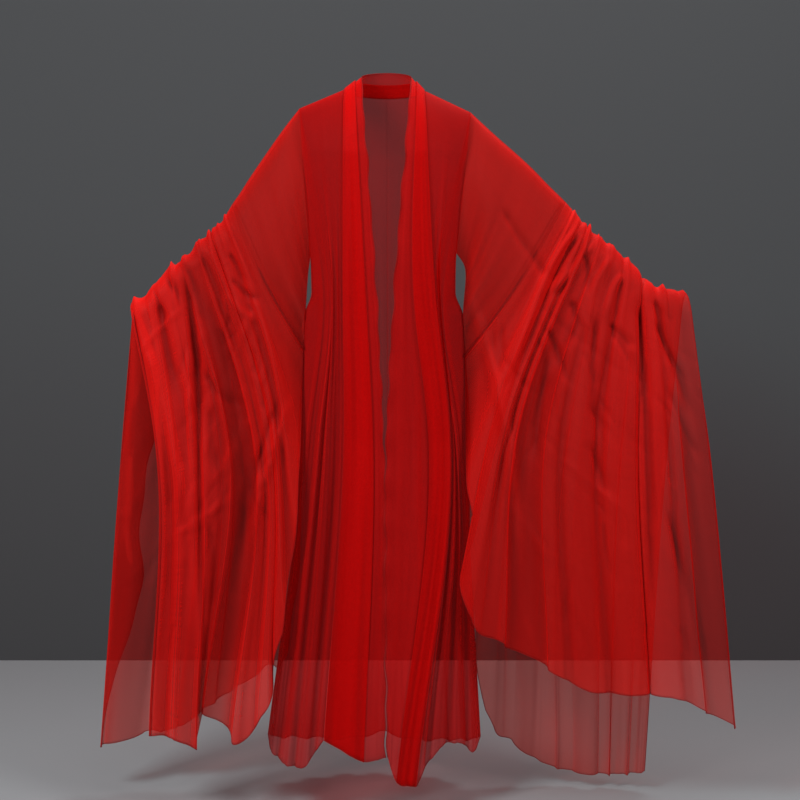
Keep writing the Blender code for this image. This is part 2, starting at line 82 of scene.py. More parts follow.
# Collar band, from its free edge to its seam with the front. Each row is a line down the front:
# where it starts on the shoulder, then its x at chest, waist and hem, how far forward it lies as a
# share of the gown's depth, and how deep the cloth sinks before the next line.
BAND_COLUMNS = "line top_x top_z chest_x waist_x hem_x hem_z fore trough"
BAND_LEFT = table(
    BAND_COLUMNS,
    ("free_edge", -0.051, 0.036, -0.020, -0.0060, -0.0030, -1.335, 1.00, 0.002),
    ("fold", -0.066, 0.024, -0.045, -0.0300, -0.0500, -1.340, 1.02, 0.004),
    ("seam", -0.087, 0.008, -0.088, -0.0870, -0.1270, -1.300, 0.96, 0.000))
BAND_RIGHT = table(
    BAND_COLUMNS,
    ("free_edge", 0.050, 0.035, 0.015, -0.0005, 0.0015, -1.335, 1.00, 0.002),
    ("fold", 0.062, 0.022, 0.058, 0.0900, 0.0220, -1.385, 1.00, 0.004),
    ("seam", 0.077, 0.006, 0.098, 0.1280, 0.0600, -1.395, 0.94, 0.000))

# Side seams, which a front and a back share
LEFT_SIDE = ("side_seam", -0.157, -0.328, -0.155, -0.1700, -0.2500, -1.330, 0.00, 0.000)
RIGHT_SIDE = ("side_seam", 0.142, -0.322, 0.141, 0.1590, 0.1960, -1.335, 0.00, 0.000)

# Fronts, from the collar seam to the side seam
FRONT_LEFT = table(
    BAND_COLUMNS,
    ("collar_seam", -0.087, 0.008, -0.088, -0.0870, -0.1270, -1.300, 0.96, 0.018),
    ("shoulder", -0.132, -0.010, -0.108, -0.1180, -0.1680, -1.362, 0.82, 0.022),
    ("armhole_top", -0.178, -0.030, -0.112, -0.1360, -0.2060, -1.366, 0.64, 0.020),
    ("armhole", -0.167, -0.180, -0.133, -0.1610, -0.2380, -1.352, 0.36, 0.006),
    LEFT_SIDE)
FRONT_RIGHT = table(
    BAND_COLUMNS,
    ("collar_seam", 0.077, 0.006, 0.098, 0.1280, 0.0600, -1.395, 0.94, 0.022),
    ("shoulder", 0.123, -0.015, 0.108, 0.1350, 0.0980, -1.335, 0.82, 0.024),
    ("armhole_top", 0.171, -0.038, 0.100, 0.1390, 0.1420, -1.320, 0.64, 0.022),
    ("armhole", 0.157, -0.180, 0.118, 0.1510, 0.1780, -1.352, 0.36, 0.006),
    RIGHT_SIDE)

# Backs, from the centre seam to the side seam
BACK_LEFT = table(
    BAND_COLUMNS,
    ("centre_seam", 0.000, -0.006, 0.000, 0.0000, -0.0100, -1.380, 1.00, 0.020),
    ("neck", -0.087, 0.008, -0.060, -0.0560, -0.0800, -1.392, 0.96, 0.024),
    ("shoulder", -0.132, -0.010, -0.096, -0.1000, -0.1500, -1.384, 0.84, 0.024),
    ("armhole_top", -0.178, -0.030, -0.110, -0.1300, -0.2040, -1.372, 0.66, 0.020),
    ("armhole", -0.167, -0.180, -0.133, -0.1590, -0.2380, -1.355, 0.36, 0.006),
    LEFT_SIDE)
BACK_RIGHT = table(
    BAND_COLUMNS,
    ("centre_seam", 0.000, -0.006, 0.000, 0.0000, -0.0100, -1.380, 1.00, 0.022),
    ("neck", 0.077, 0.006, 0.056, 0.0540, 0.0600, -1.395, 0.96, 0.024),
    ("shoulder", 0.123, -0.015, 0.088, 0.0960, 0.1160, -1.388, 0.84, 0.022),
    ("armhole_top", 0.171, -0.038, 0.098, 0.1230, 0.1560, -1.378, 0.66, 0.020),
    ("armhole", 0.157, -0.180, 0.118, 0.1480, 0.1840, -1.360, 0.36, 0.006),
    RIGHT_SIDE)

# Sleeves, from the armhole to the cuff. Each row is the crest of a fold: where it lies on the arm, the
# point where it bends, its end at the lower edge, the depths of those two in front of the arm, how deep
# the cloth sinks before the next fold, and how far that trough is tucked sideways.
SLEEVE_COLUMNS = "fold arm_x arm_z bend_x bend_z bend_y end_x end_z end_y trough tuck"
UPPER_LEFT = (
    ("biceps", -0.217, -0.080, -0.196, -0.220, 0.075, -0.163, -0.375, 0.006, 0.000, 0.000),
    ("elbow", -0.275, -0.163, -0.228, -0.300, 0.072, -0.168, -0.450, 0.006, 0.004, 0.000),
    ("seam", -0.317, -0.226, -0.256, -0.372, 0.068, -0.173, -0.524, 0.006, 0.010, 0.000))
UPPER_RIGHT = (
    ("biceps", 0.220, -0.083, 0.200, -0.220, 0.075, 0.162, -0.362, 0.006, 0.000, 0.000),
    ("elbow", 0.290, -0.145, 0.228, -0.300, 0.072, 0.157, -0.452, 0.006, 0.004, 0.000),
    ("seam", 0.365, -0.220, 0.262, -0.398, 0.068, 0.161, -0.540, 0.006, 0.010, 0.000))
SLEEVE_LEFT_FRONT = table(
    SLEEVE_COLUMNS, *UPPER_LEFT,
    ("lapped_fold", -0.334, -0.251, -0.240, -0.499, 0.080, -0.180, -0.785, 0.085, 0.014, 0.004),
    ("inner_corner", -0.351, -0.268, -0.236, -0.620, 0.092, -0.210, -1.088, 0.128, 0.022, -0.008),
    ("narrow_strip_in", -0.368, -0.286, -0.246, -0.681, 0.098, -0.256, -1.262, 0.132, 0.012, 0.000),
    ("narrow_strip_out", -0.390, -0.300, -0.268, -0.721, 0.100, -0.312, -1.318, 0.130, 0.040, 0.016),
    ("wide_strip_in", -0.420, -0.335, -0.318, -0.721, 0.102, -0.374, -1.240, 0.128, 0.018, 0.006),
    ("wide_strip_tip", -0.446, -0.351, -0.376, -0.721, 0.098, -0.386, -1.326, 0.124, 0.014, 0.006),
    ("wide_strip_mid", -0.483, -0.394, -0.426, -0.722, 0.092, -0.434, -1.307, 0.114, 0.012, 0.004),
    ("cuff", -0.523, -0.423, -0.468, -0.703, 0.075, -0.484, -1.302, 0.100, 0.000, 0.000))
SLEEVE_LEFT_BACK = table(
    SLEEVE_COLUMNS, *UPPER_LEFT,
    ("lapped_fold", -0.334, -0.251, -0.246, -0.560, 0.080, -0.184, -0.891, 0.085, 0.012, 0.004),
    ("inner_corner", -0.351, -0.268, -0.248, -0.700, 0.088, -0.214, -1.183, 0.115, 0.020, -0.006),
    ("inner_fold", -0.368, -0.286, -0.270, -0.741, 0.090, -0.262, -1.210, 0.120, 0.024, 0.006),
    ("second_fold", -0.390, -0.300, -0.304, -0.784, 0.092, -0.336, -1.265, 0.118, 0.020, -0.006),
    ("third_fold", -0.420, -0.335, -0.350, -0.806, 0.092, -0.397, -1.300, 0.116, 0.024, 0.006),
    ("fourth_fold", -0.446, -0.351, -0.401, -0.827, 0.090, -0.452, -1.340, 0.112, 0.020, -0.004),
    ("fifth_fold", -0.483, -0.394, -0.472, -0.840, 0.086, -0.520, -1.345, 0.106, 0.026, 0.012),
    ("cuff", -0.523, -0.423, -0.562, -0.803, 0.072, -0.610, -1.372, 0.085, 0.000, 0.000))
SLEEVE_RIGHT_FRONT = table(
    SLEEVE_COLUMNS, *UPPER_RIGHT,
    ("lapped_fold", 0.386, -0.242, 0.254, -0.519, 0.080, 0.162, -0.795, 0.090, 0.026, 0.016),
    ("inner_corner", 0.403, -0.259, 0.246, -0.640, 0.096, 0.172, -1.060, 0.132, 0.014, 0.000),
    ("first_ridge", 0.418, -0.274, 0.268, -0.681, 0.100, 0.240, -1.111, 0.132, 0.026, -0.012),
    ("second_ridge", 0.436, -0.289, 0.322, -0.680, 0.102, 0.326, -1.164, 0.130, 0.014, 0.000),
    ("third_ridge", 0.465, -0.312, 0.392, -0.700, 0.102, 0.413, -1.207, 0.130, 0.020, 0.008),
    ("fourth_ridge", 0.502, -0.345, 0.468, -0.700, 0.100, 0.494, -1.213, 0.126, 0.036, 0.018),
    ("fifth_ridge", 0.535, -0.380, 0.544, -0.721, 0.096, 0.574, -1.218, 0.118, 0.014, 0.000),
    ("sixth_ridge", 0.572, -0.394, 0.596, -0.701, 0.088, 0.649, -1.249, 0.108, 0.020, -0.010),
    ("cuff", 0.612, -0.406, 0.650, -0.713, 0.075, 0.708, -1.289, 0.095, 0.000, 0.000))
SLEEVE_RIGHT_BACK = table(
    SLEEVE_COLUMNS, *UPPER_RIGHT,
    ("lapped_fold", 0.386, -0.242, 0.262, -0.613, 0.080, 0.172, -0.960, 0.090, 0.014, 0.004),
    ("inner_corner", 0.403, -0.259, 0.260, -0.740, 0.088, 0.212, -1.310, 0.120, 0.018, 0.006),
    ("inner_fold", 0.418, -0.274, 0.292, -0.790, 0.090, 0.268, -1.372, 0.122, 0.020, -0.006),
    ("second_fold", 0.436, -0.289, 0.340, -0.800, 0.092, 0.330, -1.420, 0.122, 0.018, 0.006),
    ("third_fold", 0.465, -0.312, 0.398, -0.810, 0.092, 0.398, -1.436, 0.120, 0.022, -0.006),
    ("fourth_fold", 0.502, -0.345, 0.458, -0.815, 0.090, 0.452, -1.440, 0.116, 0.020, 0.006),
    ("fifth_fold", 0.535, -0.380, 0.510, -0.815, 0.086, 0.494, -1.438, 0.108, 0.018, 0.004),
    ("sixth_fold", 0.572, -0.394, 0.550, -0.800, 0.080, 0.526, -1.432, 0.098, 0.012, 0.000),
    ("cuff", 0.612, -0.406, 0.582, -0.790, 0.070, 0.548, -1.425, 0.085, 0.000, 0.000))
SEAM_ROW = 3  # the crest, counted from the armhole, that lies on the seam of the upper sleeve

# %% [markdown]
# ## Curves through points
# A smooth line through a few given points is the tool for every piece. A spline object could do it,
# but a cubic formula in numpy works on whole arrays, so one call shapes a whole panel at once.

# %% Smooth curves and steps
def smooth(places, values, at):
    """Cubic curve through values at rising places, its slopes taken from the two neighbours.

    places is one list for all, or has a column for each curve; at then has a row for each curve.
    Between two places, value = hermite blend of the two values and the two slopes.
    """
    places = np.asarray(places, float)
    values = np.asarray(values, float)
    at = np.asarray(at, float)
    gap = np.diff(places, axis=0)
    spread = gap.reshape(gap.shape + (1,) * (values.ndim - gap.ndim))
    rise = np.diff(values, axis=0) / spread
    before, after = spread[:-1], spread[1:]
    inner = (after * rise[:-1] + before * rise[1:]) / (before + after)
    slopes = np.concatenate((rise[:1], inner, rise[-1:]))
    if places.ndim == 1:
        low = np.clip(np.searchsorted(places, at, side="right") - 1, 0, len(places) - 2)
        step = gap[low]
        share = (at - places[low]) / step
        wide = at.shape + (1,) * (values.ndim - 1)
        step, share = step.reshape(wide), share.reshape(wide)
        first, second, leave, arrive = values[low], values[low + 1], slopes[low], slopes[low + 1]
    else:
        low = (at[None] >= places[1:-1, :, None]).sum(axis=0)
        pick = lambda table_of: np.take_along_axis(table_of, low.T, axis=0).T
        step = pick(gap)
        share = (at - pick(places[:-1])) / step
        first, second, leave, arrive = pick(values), pick(values[1:]), pick(slopes), pick(slopes[1:])
    hold = 2 * share**3 - 3 * share**2 + 1
    return (hold * first + (share**3 - 2 * share**2 + share) * step * leave
            + (1 - hold) * second + (share**3 - share**2) * step * arrive)


def eased(share):
    """Soft step from 0 to 1: three times the square less twice the cube."""
    share = np.clip(share, 0.0, 1.0)
    return share * share * (3.0 - 2.0 * share)


def turned_over(drop, radius):
    """Quarter of a circle: the share of the full depth reached at a drop below a rounded edge."""
    rest = 1.0 - np.clip(drop / radius, 0.0, 1.0)
    return np.sqrt(np.clip(1.0 - rest**2, 0.0, 1.0))


print("eased", eased(np.array((0.0, 0.25, 0.5, 1.0))))

# %% [markdown]
# ## From a grid to a piece of cloth
# A grid of points becomes one mesh of four-sided faces. The cloth also gets a map of its own flat
# length and width in metres, so that the weave keeps its scale however the piece hangs. Solidify
# gives it a real thickness: an open surface has no inside or outside, and a part needs both.

# %% Grid to mesh
CLOTH_THICKNESS = 0.0005


def flat_map(grid, ring):
    """Distance along each of the grid's two directions: the running sum of the mean step."""
    across = np.linalg.norm(np.diff(grid, axis=0), axis=2).mean(axis=1)
    closed = np.concatenate((grid, grid[:, :1]), axis=1) if ring else grid
    along = np.linalg.norm(np.diff(closed, axis=1), axis=2).mean(axis=0)
    u = np.concatenate(((0.0,), np.cumsum(across)))
    v = np.concatenate(((0.0,), np.cumsum(along)))
    return u, v


def cloth_size(grid):
    """Widest width, longest length and area of a grid, by adding up its steps and its cells."""
    width = np.linalg.norm(np.diff(grid, axis=0), axis=2).sum(axis=0).max()
    length = np.linalg.norm(np.diff(grid, axis=1), axis=2).sum(axis=1).max()
    one = grid[1:, 1:] - grid[:-1, :-1]
    two = grid[1:, :-1] - grid[:-1, 1:]
    area = 0.5 * np.linalg.norm(np.cross(one, two), axis=2).sum()
    return float(width), float(length), float(area)


def blurred(values, width, axis):
    """Running mean of a grid along one axis, twice, so that the weights fall off in straight lines."""
    for _ in range(2):
        padded = np.concatenate((np.repeat(values.take([0], axis), width, axis), values,
                                 np.repeat(values.take([-1], axis), width, axis)), axis=axis)
        total = np.cumsum(padded, axis=axis)
        size = values.shape[axis]
        upper = total.take(np.arange(2 * width, 2 * width + size), axis)
        lower = total.take(np.arange(0, size), axis)
        values = (upper - lower) / (2.0 * width)
    return values


def hollows(grid):
    """How deep each point lies in a fold, from -1 on a crest to 1 in a trough.

    The mean place of the neighbours across the folds less the point's own place, measured along the
    normal that faces away from the wearer: once over near neighbours, for narrow folds, and once
    over far ones, each as a share of the depth that counts as a whole fold.
    """
    total = 0.0
    for reach, depth, share in ((3, 0.0026, 0.70), (9, 0.0120, 0.22)):
        mean = blurred(blurred(grid, reach, 0), 3, 1)
        normal = np.cross(np.gradient(mean, axis=0), np.gradient(mean, axis=1))
        normal /= np.maximum(np.linalg.norm(normal, axis=2, keepdims=True), 1e-9)
        facing = np.sign((normal[:, :, 1] * grid[:, :, 1]).sum())
        total = total + share * np.tanh(((mean - grid) * normal).sum(axis=2) * facing / depth)
    return total


def grid_mesh(name, grid, ring, folds, layers):
    """Mesh of four-sided faces on a grid; a ring also joins its last step to its first.

    folds and layers are numbers for each point: how deep it lies in a fold, and how many layers of
    cloth are packed together there. The material reads both, and darkens the colour by the first as painted
    shade.
    """
    columns, steps = grid.shape[:2]
    last = steps if ring else steps - 1
    c, s = np.meshgrid(np.arange(columns - 1), np.arange(last), indexing="ij")
    following = (s + 1) % steps
    faces = np.stack((c * steps + s, (c + 1) * steps + s,
                      (c + 1) * steps + following, c * steps + following), axis=-1).reshape(-1, 4)
    mesh = bpy.data.meshes.new(name)
    mesh.from_pydata(grid.reshape(-1, 3), [], faces)
    u, v = flat_map(grid, ring)
    corner_u = np.stack((u[c], u[c + 1], u[c + 1], u[c]), axis=-1)
    corner_v = np.stack((v[s], v[s], v[s + 1], v[s + 1]), axis=-1)
    layer = mesh.uv_layers.new(name="flat_cloth")
    layer.data.foreach_set("uv", np.stack((corner_u, corner_v), axis=-1).astype(np.float32).ravel())
    for label, values in (("fold", folds), ("layers", layers)):
        attribute = mesh.attributes.new(label, "FLOAT", "POINT")
        attribute.data.foreach_set("value", values.astype(np.float32).ravel())
    mesh.shade_smooth()
    return mesh


def cloth_piece(name, grid, material, ring=False, folds=None, layers=None):
    """A piece of cloth on a grid, with its thickness and its material; ring closes it to a tube."""
    folds = hollows(grid) if folds is None else folds
    layers = np.ones(grid.shape[:2]) if layers is None else layers
    piece = bpy.data.objects.new(name, grid_mesh(name, grid, ring, folds, layers))
    bpy.context.scene.collection.objects.link(piece)
    piece.data.materials.append(material)
    wall = piece.modifiers.new("thickness", "SOLIDIFY")
    wall.thickness = CLOTH_THICKNESS
    wall.offset = 0.0
    size = cloth_size(grid)
    print(f"{name}: {grid.shape[0]} x {grid.shape[1]} points, "
          f"{size[0]:.3f} x {size[1]:.3f} m, {size[2]:.3f} square metres")
    return piece

# %% [markdown]
# ## The cloth's look
# Chiffon is a plain weave of very thin twisted threads with gaps between them, so one layer lets most
# light through and several layers add up to a deep red. Each surface here mixes a clear red-tinted
# shader with a matt one. Where the cloth turns away from the eye its threads close up, so the mix
# gets denser with the angle, as it does on thin glass.

# %% Weave and dye groups
def new_group(name, inputs, outputs):
    """An empty shader group with named sockets; inputs are (name, kind, value)."""
    group = bpy.data.node_groups.new(name, "ShaderNodeTree")
    for label, kind, value in inputs:
        socket = group.interface.new_socket(label, in_out="INPUT", socket_type=kind)
        if value is not None:
            socket.default_value = value
    for label, kind in outputs:
        group.interface.new_socket(label, in_out="OUTPUT", socket_type=kind)
    return group, group.nodes.new("NodeGroupInput"), group.nodes.new("NodeGroupOutput")


def calculator(nodes, links):
    """A function that adds a Math node: each term is a number or another node's output."""
    def calculate(operation, *terms):
        node = nodes.new("ShaderNodeMath")
        node.operation = operation
        for place, term in enumerate(terms):
            if isinstance(term, (int, float)):
                node.inputs[place].default_value = term
            else:
                links.new(term, node.inputs[place])
        return node.outputs[0]
    return calculate


def weave_group():
    """Plain weave: the height is the product of a wave across and a wave along the threads.

    Slubs are slow noise stretched along the thread; they vary the height and the density.
    """
    group, given, result = new_group(
        "plain weave",
        (("Flat Map", "NodeSocketVector", None), ("Threads per Metre", "NodeSocketFloat", 1400.0)),
        (("Height", "NodeSocketFloat"), ("Slubs", "NodeSocketFloat")))
    nodes, links = group.nodes, group.links
    calculate = calculator(nodes, links)
    split = nodes.new("ShaderNodeSeparateXYZ")
    links.new(given.outputs["Flat Map"], split.inputs[0])
    turns = calculate("MULTIPLY", given.outputs["Threads per Metre"], math.pi)
    waves = [calculate("SINE", calculate("MULTIPLY", split.outputs[axis], turns)) for axis in (0, 1)]
    height = calculate("MULTIPLY", waves[0], waves[1])
    parts = []
    for stretch in ((900.0, 14.0, 1.0), (14.0, 900.0, 1.0)):
        mapping = nodes.new("ShaderNodeMapping")
        mapping.inputs["Scale"].default_value = stretch
        links.new(given.outputs["Flat Map"], mapping.inputs["Vector"])
        noise = nodes.new("ShaderNodeTexNoise")
        noise.inputs["Scale"].default_value = 0.35
        noise.inputs["Detail"].default_value = 0.0
        links.new(mapping.outputs[0], noise.inputs["Vector"])
        parts.append(noise.outputs["Fac"])
    slubs = calculate("MULTIPLY", calculate("ADD", parts[0], parts[1]), 0.5)
    links.new(height, result.inputs["Height"])
    links.new(slubs, result.inputs["Slubs"])
    return group


def dye_group():
    """Uneven dye: slow noise over the place, stretched a little down the cloth."""
    group, given, result = new_group(
        "dye patches",
        (("Place", "NodeSocketVector", None), ("Scale", "NodeSocketFloat", 3.5)),
        (("Patches", "NodeSocketFloat"),))
    nodes, links = group.nodes, group.links
    stretched = nodes.new("ShaderNodeMapping")
    stretched.inputs["Scale"].default_value = (1.0, 1.0, 0.6)
    links.new(given.outputs["Place"], stretched.inputs["Vector"])
    patches = nodes.new("ShaderNodeTexNoise")
    patches.inputs["Detail"].default_value = 0.0
    links.new(stretched.outputs[0], patches.inputs["Vector"])
    links.new(given.outputs["Scale"], patches.inputs["Scale"])
    links.new(patches.outputs["Fac"], result.inputs["Patches"])
    return group


weave = weave_group()
dye = dye_group()
print("groups", weave.name, "and", dye.name)

# %% Chiffon material
LEAST_COSINE = 0.22  # beyond this slant the threads close up no further
PAINTED_FOLD_SHADE_RED = (0.27, 0.0015, 0.0015, 1.0)  # painted shade: the dark red the colour turns to in the hollow of a fold


def chiffon(name, density, light_red, deep_red, clear, gather=1.3):
    """Sheer cloth: a clear shader and a matt one, mixed by how much of the view the threads cover.

    density is the share covered when one wall is seen straight on. At a slant, with cosine c,
    the share covered is one less (1 - density) to the power 1 / c. In the hollow of a fold the cloth
    lies packed, and gather says how many more layers that is worth; there the colour also darkens
    to a deep red, which is painted shade. clear tints what shows through.
    """
    material = bpy.data.materials.new(name)
    material.use_nodes = True
    nodes, links = material.node_tree.nodes, material.node_tree.links
    calculate = calculator(nodes, links)
    nodes.clear()
    flat = nodes.new("ShaderNodeUVMap")
    flat.uv_map = "flat_cloth"
    place = nodes.new("ShaderNodeTexCoord")
    fold = nodes.new("ShaderNodeAttribute")
    fold.attribute_name = "fold"
    threads = nodes.new("ShaderNodeGroup")
    threads.node_tree = weave
    links.new(flat.outputs[0], threads.inputs["Flat Map"])
    soft = nodes.new("ShaderNodeGroup")
    soft.node_tree = dye
    links.new(place.outputs["Object"], soft.inputs["Place"])

    woven = nodes.new("ShaderNodeBump")
    woven.inputs["Strength"].default_value = 0.1
    woven.inputs["Distance"].default_value = 0.00003
    links.new(threads.outputs["Height"], woven.inputs["Height"])

    shade = nodes.new("ShaderNodeMix")
    shade.data_type = "RGBA"
    shade.inputs["A"].default_value = (*deep_red, 1.0)
    shade.inputs["B"].default_value = (*light_red, 1.0)
    tone = calculate("ADD", calculate("MULTIPLY", soft.outputs["Patches"], 0.7),
                     calculate("MULTIPLY", threads.outputs["Slubs"], 0.6))
    links.new(calculate("SUBTRACT", tone, 0.15), shade.inputs["Factor"])
    # From just on a crest to nearly the bottom of a trough, the colour turns to a deep red: painted shade in
    # the hollows of the folds
    hollow = nodes.new("ShaderNodeMapRange")
    hollow.inputs["From Min"].default_value = -0.15
    hollow.inputs["From Max"].default_value = 0.85
    hollow.inputs["To Max"].default_value = 0.86
    hollow.clamp = True
    links.new(fold.outputs["Fac"], hollow.inputs["Value"])
    # The deep red of the hollows is painted shade, mixed into the base colour
    fold_shaded_colour = nodes.new("ShaderNodeMix")
    fold_shaded_colour.data_type = "RGBA"
    fold_shaded_colour.inputs["B"].default_value = PAINTED_FOLD_SHADE_RED
    links.new(hollow.outputs[0], fold_shaded_colour.inputs["Factor"])
    links.new(shade.outputs["Result"], fold_shaded_colour.inputs["A"])

    matt = nodes.new("ShaderNodeBsdfPrincipled")
    matt.inputs["Roughness"].default_value = 0.62
    matt.inputs["Specular IOR Level"].default_value = 0.12
    matt.inputs["Sheen Weight"].default_value = 0.05
    matt.inputs["Sheen Roughness"].default_value = 0.5
    matt.inputs["Sheen Tint"].default_value = (1.0, 0.25, 0.2, 1.0)
    links.new(fold_shaded_colour.outputs["Result"], matt.inputs["Base Color"])
    links.new(woven.outputs[0], matt.inputs["Normal"])

    through_it = nodes.new("ShaderNodeBsdfTransparent")
    through_it.inputs["Color"].default_value = (*clear, 1.0)

    angle = nodes.new("ShaderNodeLayerWeight")
    angle.inputs["Blend"].default_value = 0.5
    cosine = calculate("MAXIMUM", calculate("SUBTRACT", 1.0, angle.outputs["Facing"]), LEAST_COSINE)
    even = calculate("ADD", 0.88, calculate("MULTIPLY", threads.outputs["Slubs"], 0.24))
    laid = nodes.new("ShaderNodeAttribute")
    laid.attribute_name = "layers"
    packed = calculate("ADD", calculate("MULTIPLY", even, laid.outputs["Fac"]),
                       calculate("MULTIPLY", hollow.outputs[0], gather))
    gaps = calculate("POWER", 1.0 - density, calculate("DIVIDE", packed, cosine))
    covered = calculate("SUBTRACT", 1.0, gaps)
    both = nodes.new("ShaderNodeMixShader")
    links.new(covered, both.inputs["Fac"])
    links.new(through_it.outputs[0], both.inputs[1])
    links.new(matt.outputs[0], both.inputs[2])
    output = nodes.new("ShaderNodeOutputMaterial")
    links.new(both.outputs[0], output.inputs["Surface"])
    print("material", name, "covers", density, "of a straight view")
    return material


body_cloth = chiffon("body chiffon", 0.108, (0.86, 0.007, 0.006), (0.66, 0.003, 0.003), (1.0, 0.56, 0.56))
sleeve_cloth = chiffon("sleeve chiffon", 0.134, (0.92, 0.014, 0.009), (0.72, 0.006, 0.005), (1.0, 0.66, 0.63))
sleeve_end_cloth = chiffon("sleeve end chiffon", 0.134, (0.92, 0.013, 0.008), (0.68, 0.003, 0.003),
                           (1.0, 0.66, 0.63))
collar_cloth = chiffon("collar chiffon", 0.185, (0.92, 0.006, 0.005), (0.70, 0.003, 0.003),
                       (1.0, 0.50, 0.50), 1.0)

# %% [markdown]
# ## Sleeves
# A sleeve is one surface from the armhole to the cuff. Across it run the crests of the folds, and
# down it run steps from the top of the arm to the lower edge, on the front and on the back. The
# upper sleeve is a tube; the sleeve end is open below, a cloth hung over the forearm.

# %% Sleeve crests
ARCH_STEPS = np.linspace(0.0, 0.066, 12)  # distances over the arm
FALL_STEPS = np.linspace(0.0, 1.0, 140)[1:]  # shares of the rest
TROUGH_POWER = 1.5


def armhole(front, side, share):
    """Armhole of one half: a smooth line from the shoulder to the underarm, bowed to one side."""
    corners = np.stack((front["top_x"][2:], front["top_z"][2:]), axis=1)
    line = smooth((0.0, 0.5, 1.0), corners, share)
    bow = 0.052 * np.sin(math.pi * np.clip(share, 0.0, 1.0))**0.75 + UNDERARM * share**8
    return np.stack((line[:, 0], side * bow, line[:, 1]), axis=1)


def sleeve_shares(length):
    """Steps along a fold: close together over the arm and even below it."""
    return np.concatenate((ARCH_STEPS, ARCH_STEPS[-1] + (length - ARCH_STEPS[-1]) * FALL_STEPS)) / length


def sleeve_crests(rows, front, side):
    """The crests of one half of a sleeve, each a curve through its arm, bend and end points."""
    hole = armhole(front, side, np.linspace(0.0, 1.0, 60))
    hole_length = np.linalg.norm(np.diff(hole, axis=0), axis=1).sum()
    crests = [armhole(front, side, sleeve_shares(hole_length))]
    for row in range(len(rows["fold"])):
        points = np.array([[rows[f"{part}_{axis}"][row] for axis in "xz"] for part in ("arm", "bend", "end")])
        upper = np.linalg.norm(points[1] - points[0])
        length = upper + np.linalg.norm(points[2] - points[1])
        shares = sleeve_shares(length)
        line = smooth((0.0, upper / length, 1.0), points, shares)
        depth = smooth((0.0, upper / length, 1.0),
                       np.array((ARM_RADIUS, rows["bend_y"][row], rows["end_y"][row])), shares)
        depth = depth * turned_over(points[0, 1] - line[:, 1], ARM_RADIUS)
        crests.append(np.stack((line[:, 0], side * depth, line[:, 1]), axis=1))
    return np.array(crests)


def folded(crests, rows, side, columns):
    """Cloth through the crests, sunk into a trough between each two of them.

    sunk = trough * (half of one less cosine) to a power, and a higher power gives broad crests with
    narrow troughs. Each trough leans a little to one side, and grows down the sleeve.
    """
    count = len(crests)
    trough = np.concatenate(((0.0,), rows["trough"]))
    tuck = np.concatenate(((0.0,), rows["tuck"]))
    cloth = smooth(np.arange(count), crests, columns)
    gap = np.clip(np.floor(columns).astype(int), 0, count - 2)
    drop = cloth[:, :1, 2] - cloth[:, :, 2]
    part = (columns - gap)[:, None]
    lean = 0.10 * np.sin(2.3 * gap + 1.1 + (1.0 if side > 0 else 0.0))[:, None]
    part = part + lean * np.sin(2.0 * math.pi * part) * eased(drop / 0.3)
    turn = 2.0 * math.pi * part
    over = np.clip(1.0 - drop / ARM_RADIUS, 0.0, 1.0)
    growth = 0.30 + 0.70 * eased(drop / 0.35)
    sunk = trough[gap, None] * (0.5 * (1.0 - np.cos(turn)))**TROUGH_POWER * growth
    cloth[:, :, 1] -= side * sunk * (1.0 - over)
    cloth[:, :, 2] -= sunk * over
    cloth[:, :, 0] += tuck[gap, None] * np.sin(turn) * growth
    return cloth, drop, over


def pleated(cloth, drop, over, columns, side, strength, ripples):
    """Pushed-up pleats over the arm, and uneven small folds below them.

    A pleat = strength * a tooth that rises slowly towards the hand and drops at once, one for each
    fold and half of another, fading down the sleeve. Ripples are slow waves that wander sideways.
    """
    u = columns[:, None]
    hand = 0.0 if side < 0 else 1.7
    bend = 0.9 * drop + 0.10 * np.sin(7.0 * drop + 1.9 * u + hand)
    tooth = np.mod(u - SEAM_ROW + 0.12 * np.sin(2.9 * u) + bend * (1.0 - over), 1.0)
    tooth = tooth**1.4 * (1.0 - eased((tooth - 0.80) / 0.20))
    second = np.mod(1.63 * u + 0.2 + 0.7 * bend, 1.0)
    second = second**1.4 * (1.0 - eased((second - 0.78) / 0.22))
    uneven = 0.75 + 0.35 * np.sin(2.3 * u + 0.6)
    fade = np.exp(-(drop / 0.15)**1.3) * eased((u - SEAM_ROW) / 0.5)
    ripple = np.sin(2.0 * math.pi * (1.35 * u + 0.55 * np.sin(2.2 * drop + 0.8 * u + hand)) + 2.0 * hand)
    ripple = ripple + 0.45 * np.sin(2.0 * math.pi * (3.1 * u + 0.6 * np.sin(3.4 * drop - 0.5 * u)) + hand)
    rise = strength * (tooth * uneven + 0.35 * second - 0.3) * fade
    rise = rise + ripples * ripple * eased(drop / 0.25) * (0.4 + 0.6 * np.sin(0.9 * u + hand)**2)
    cloth[:, :, 1] += side * rise * (1.0 - over)
    cloth[:, :, 2] += rise * over
    return cloth
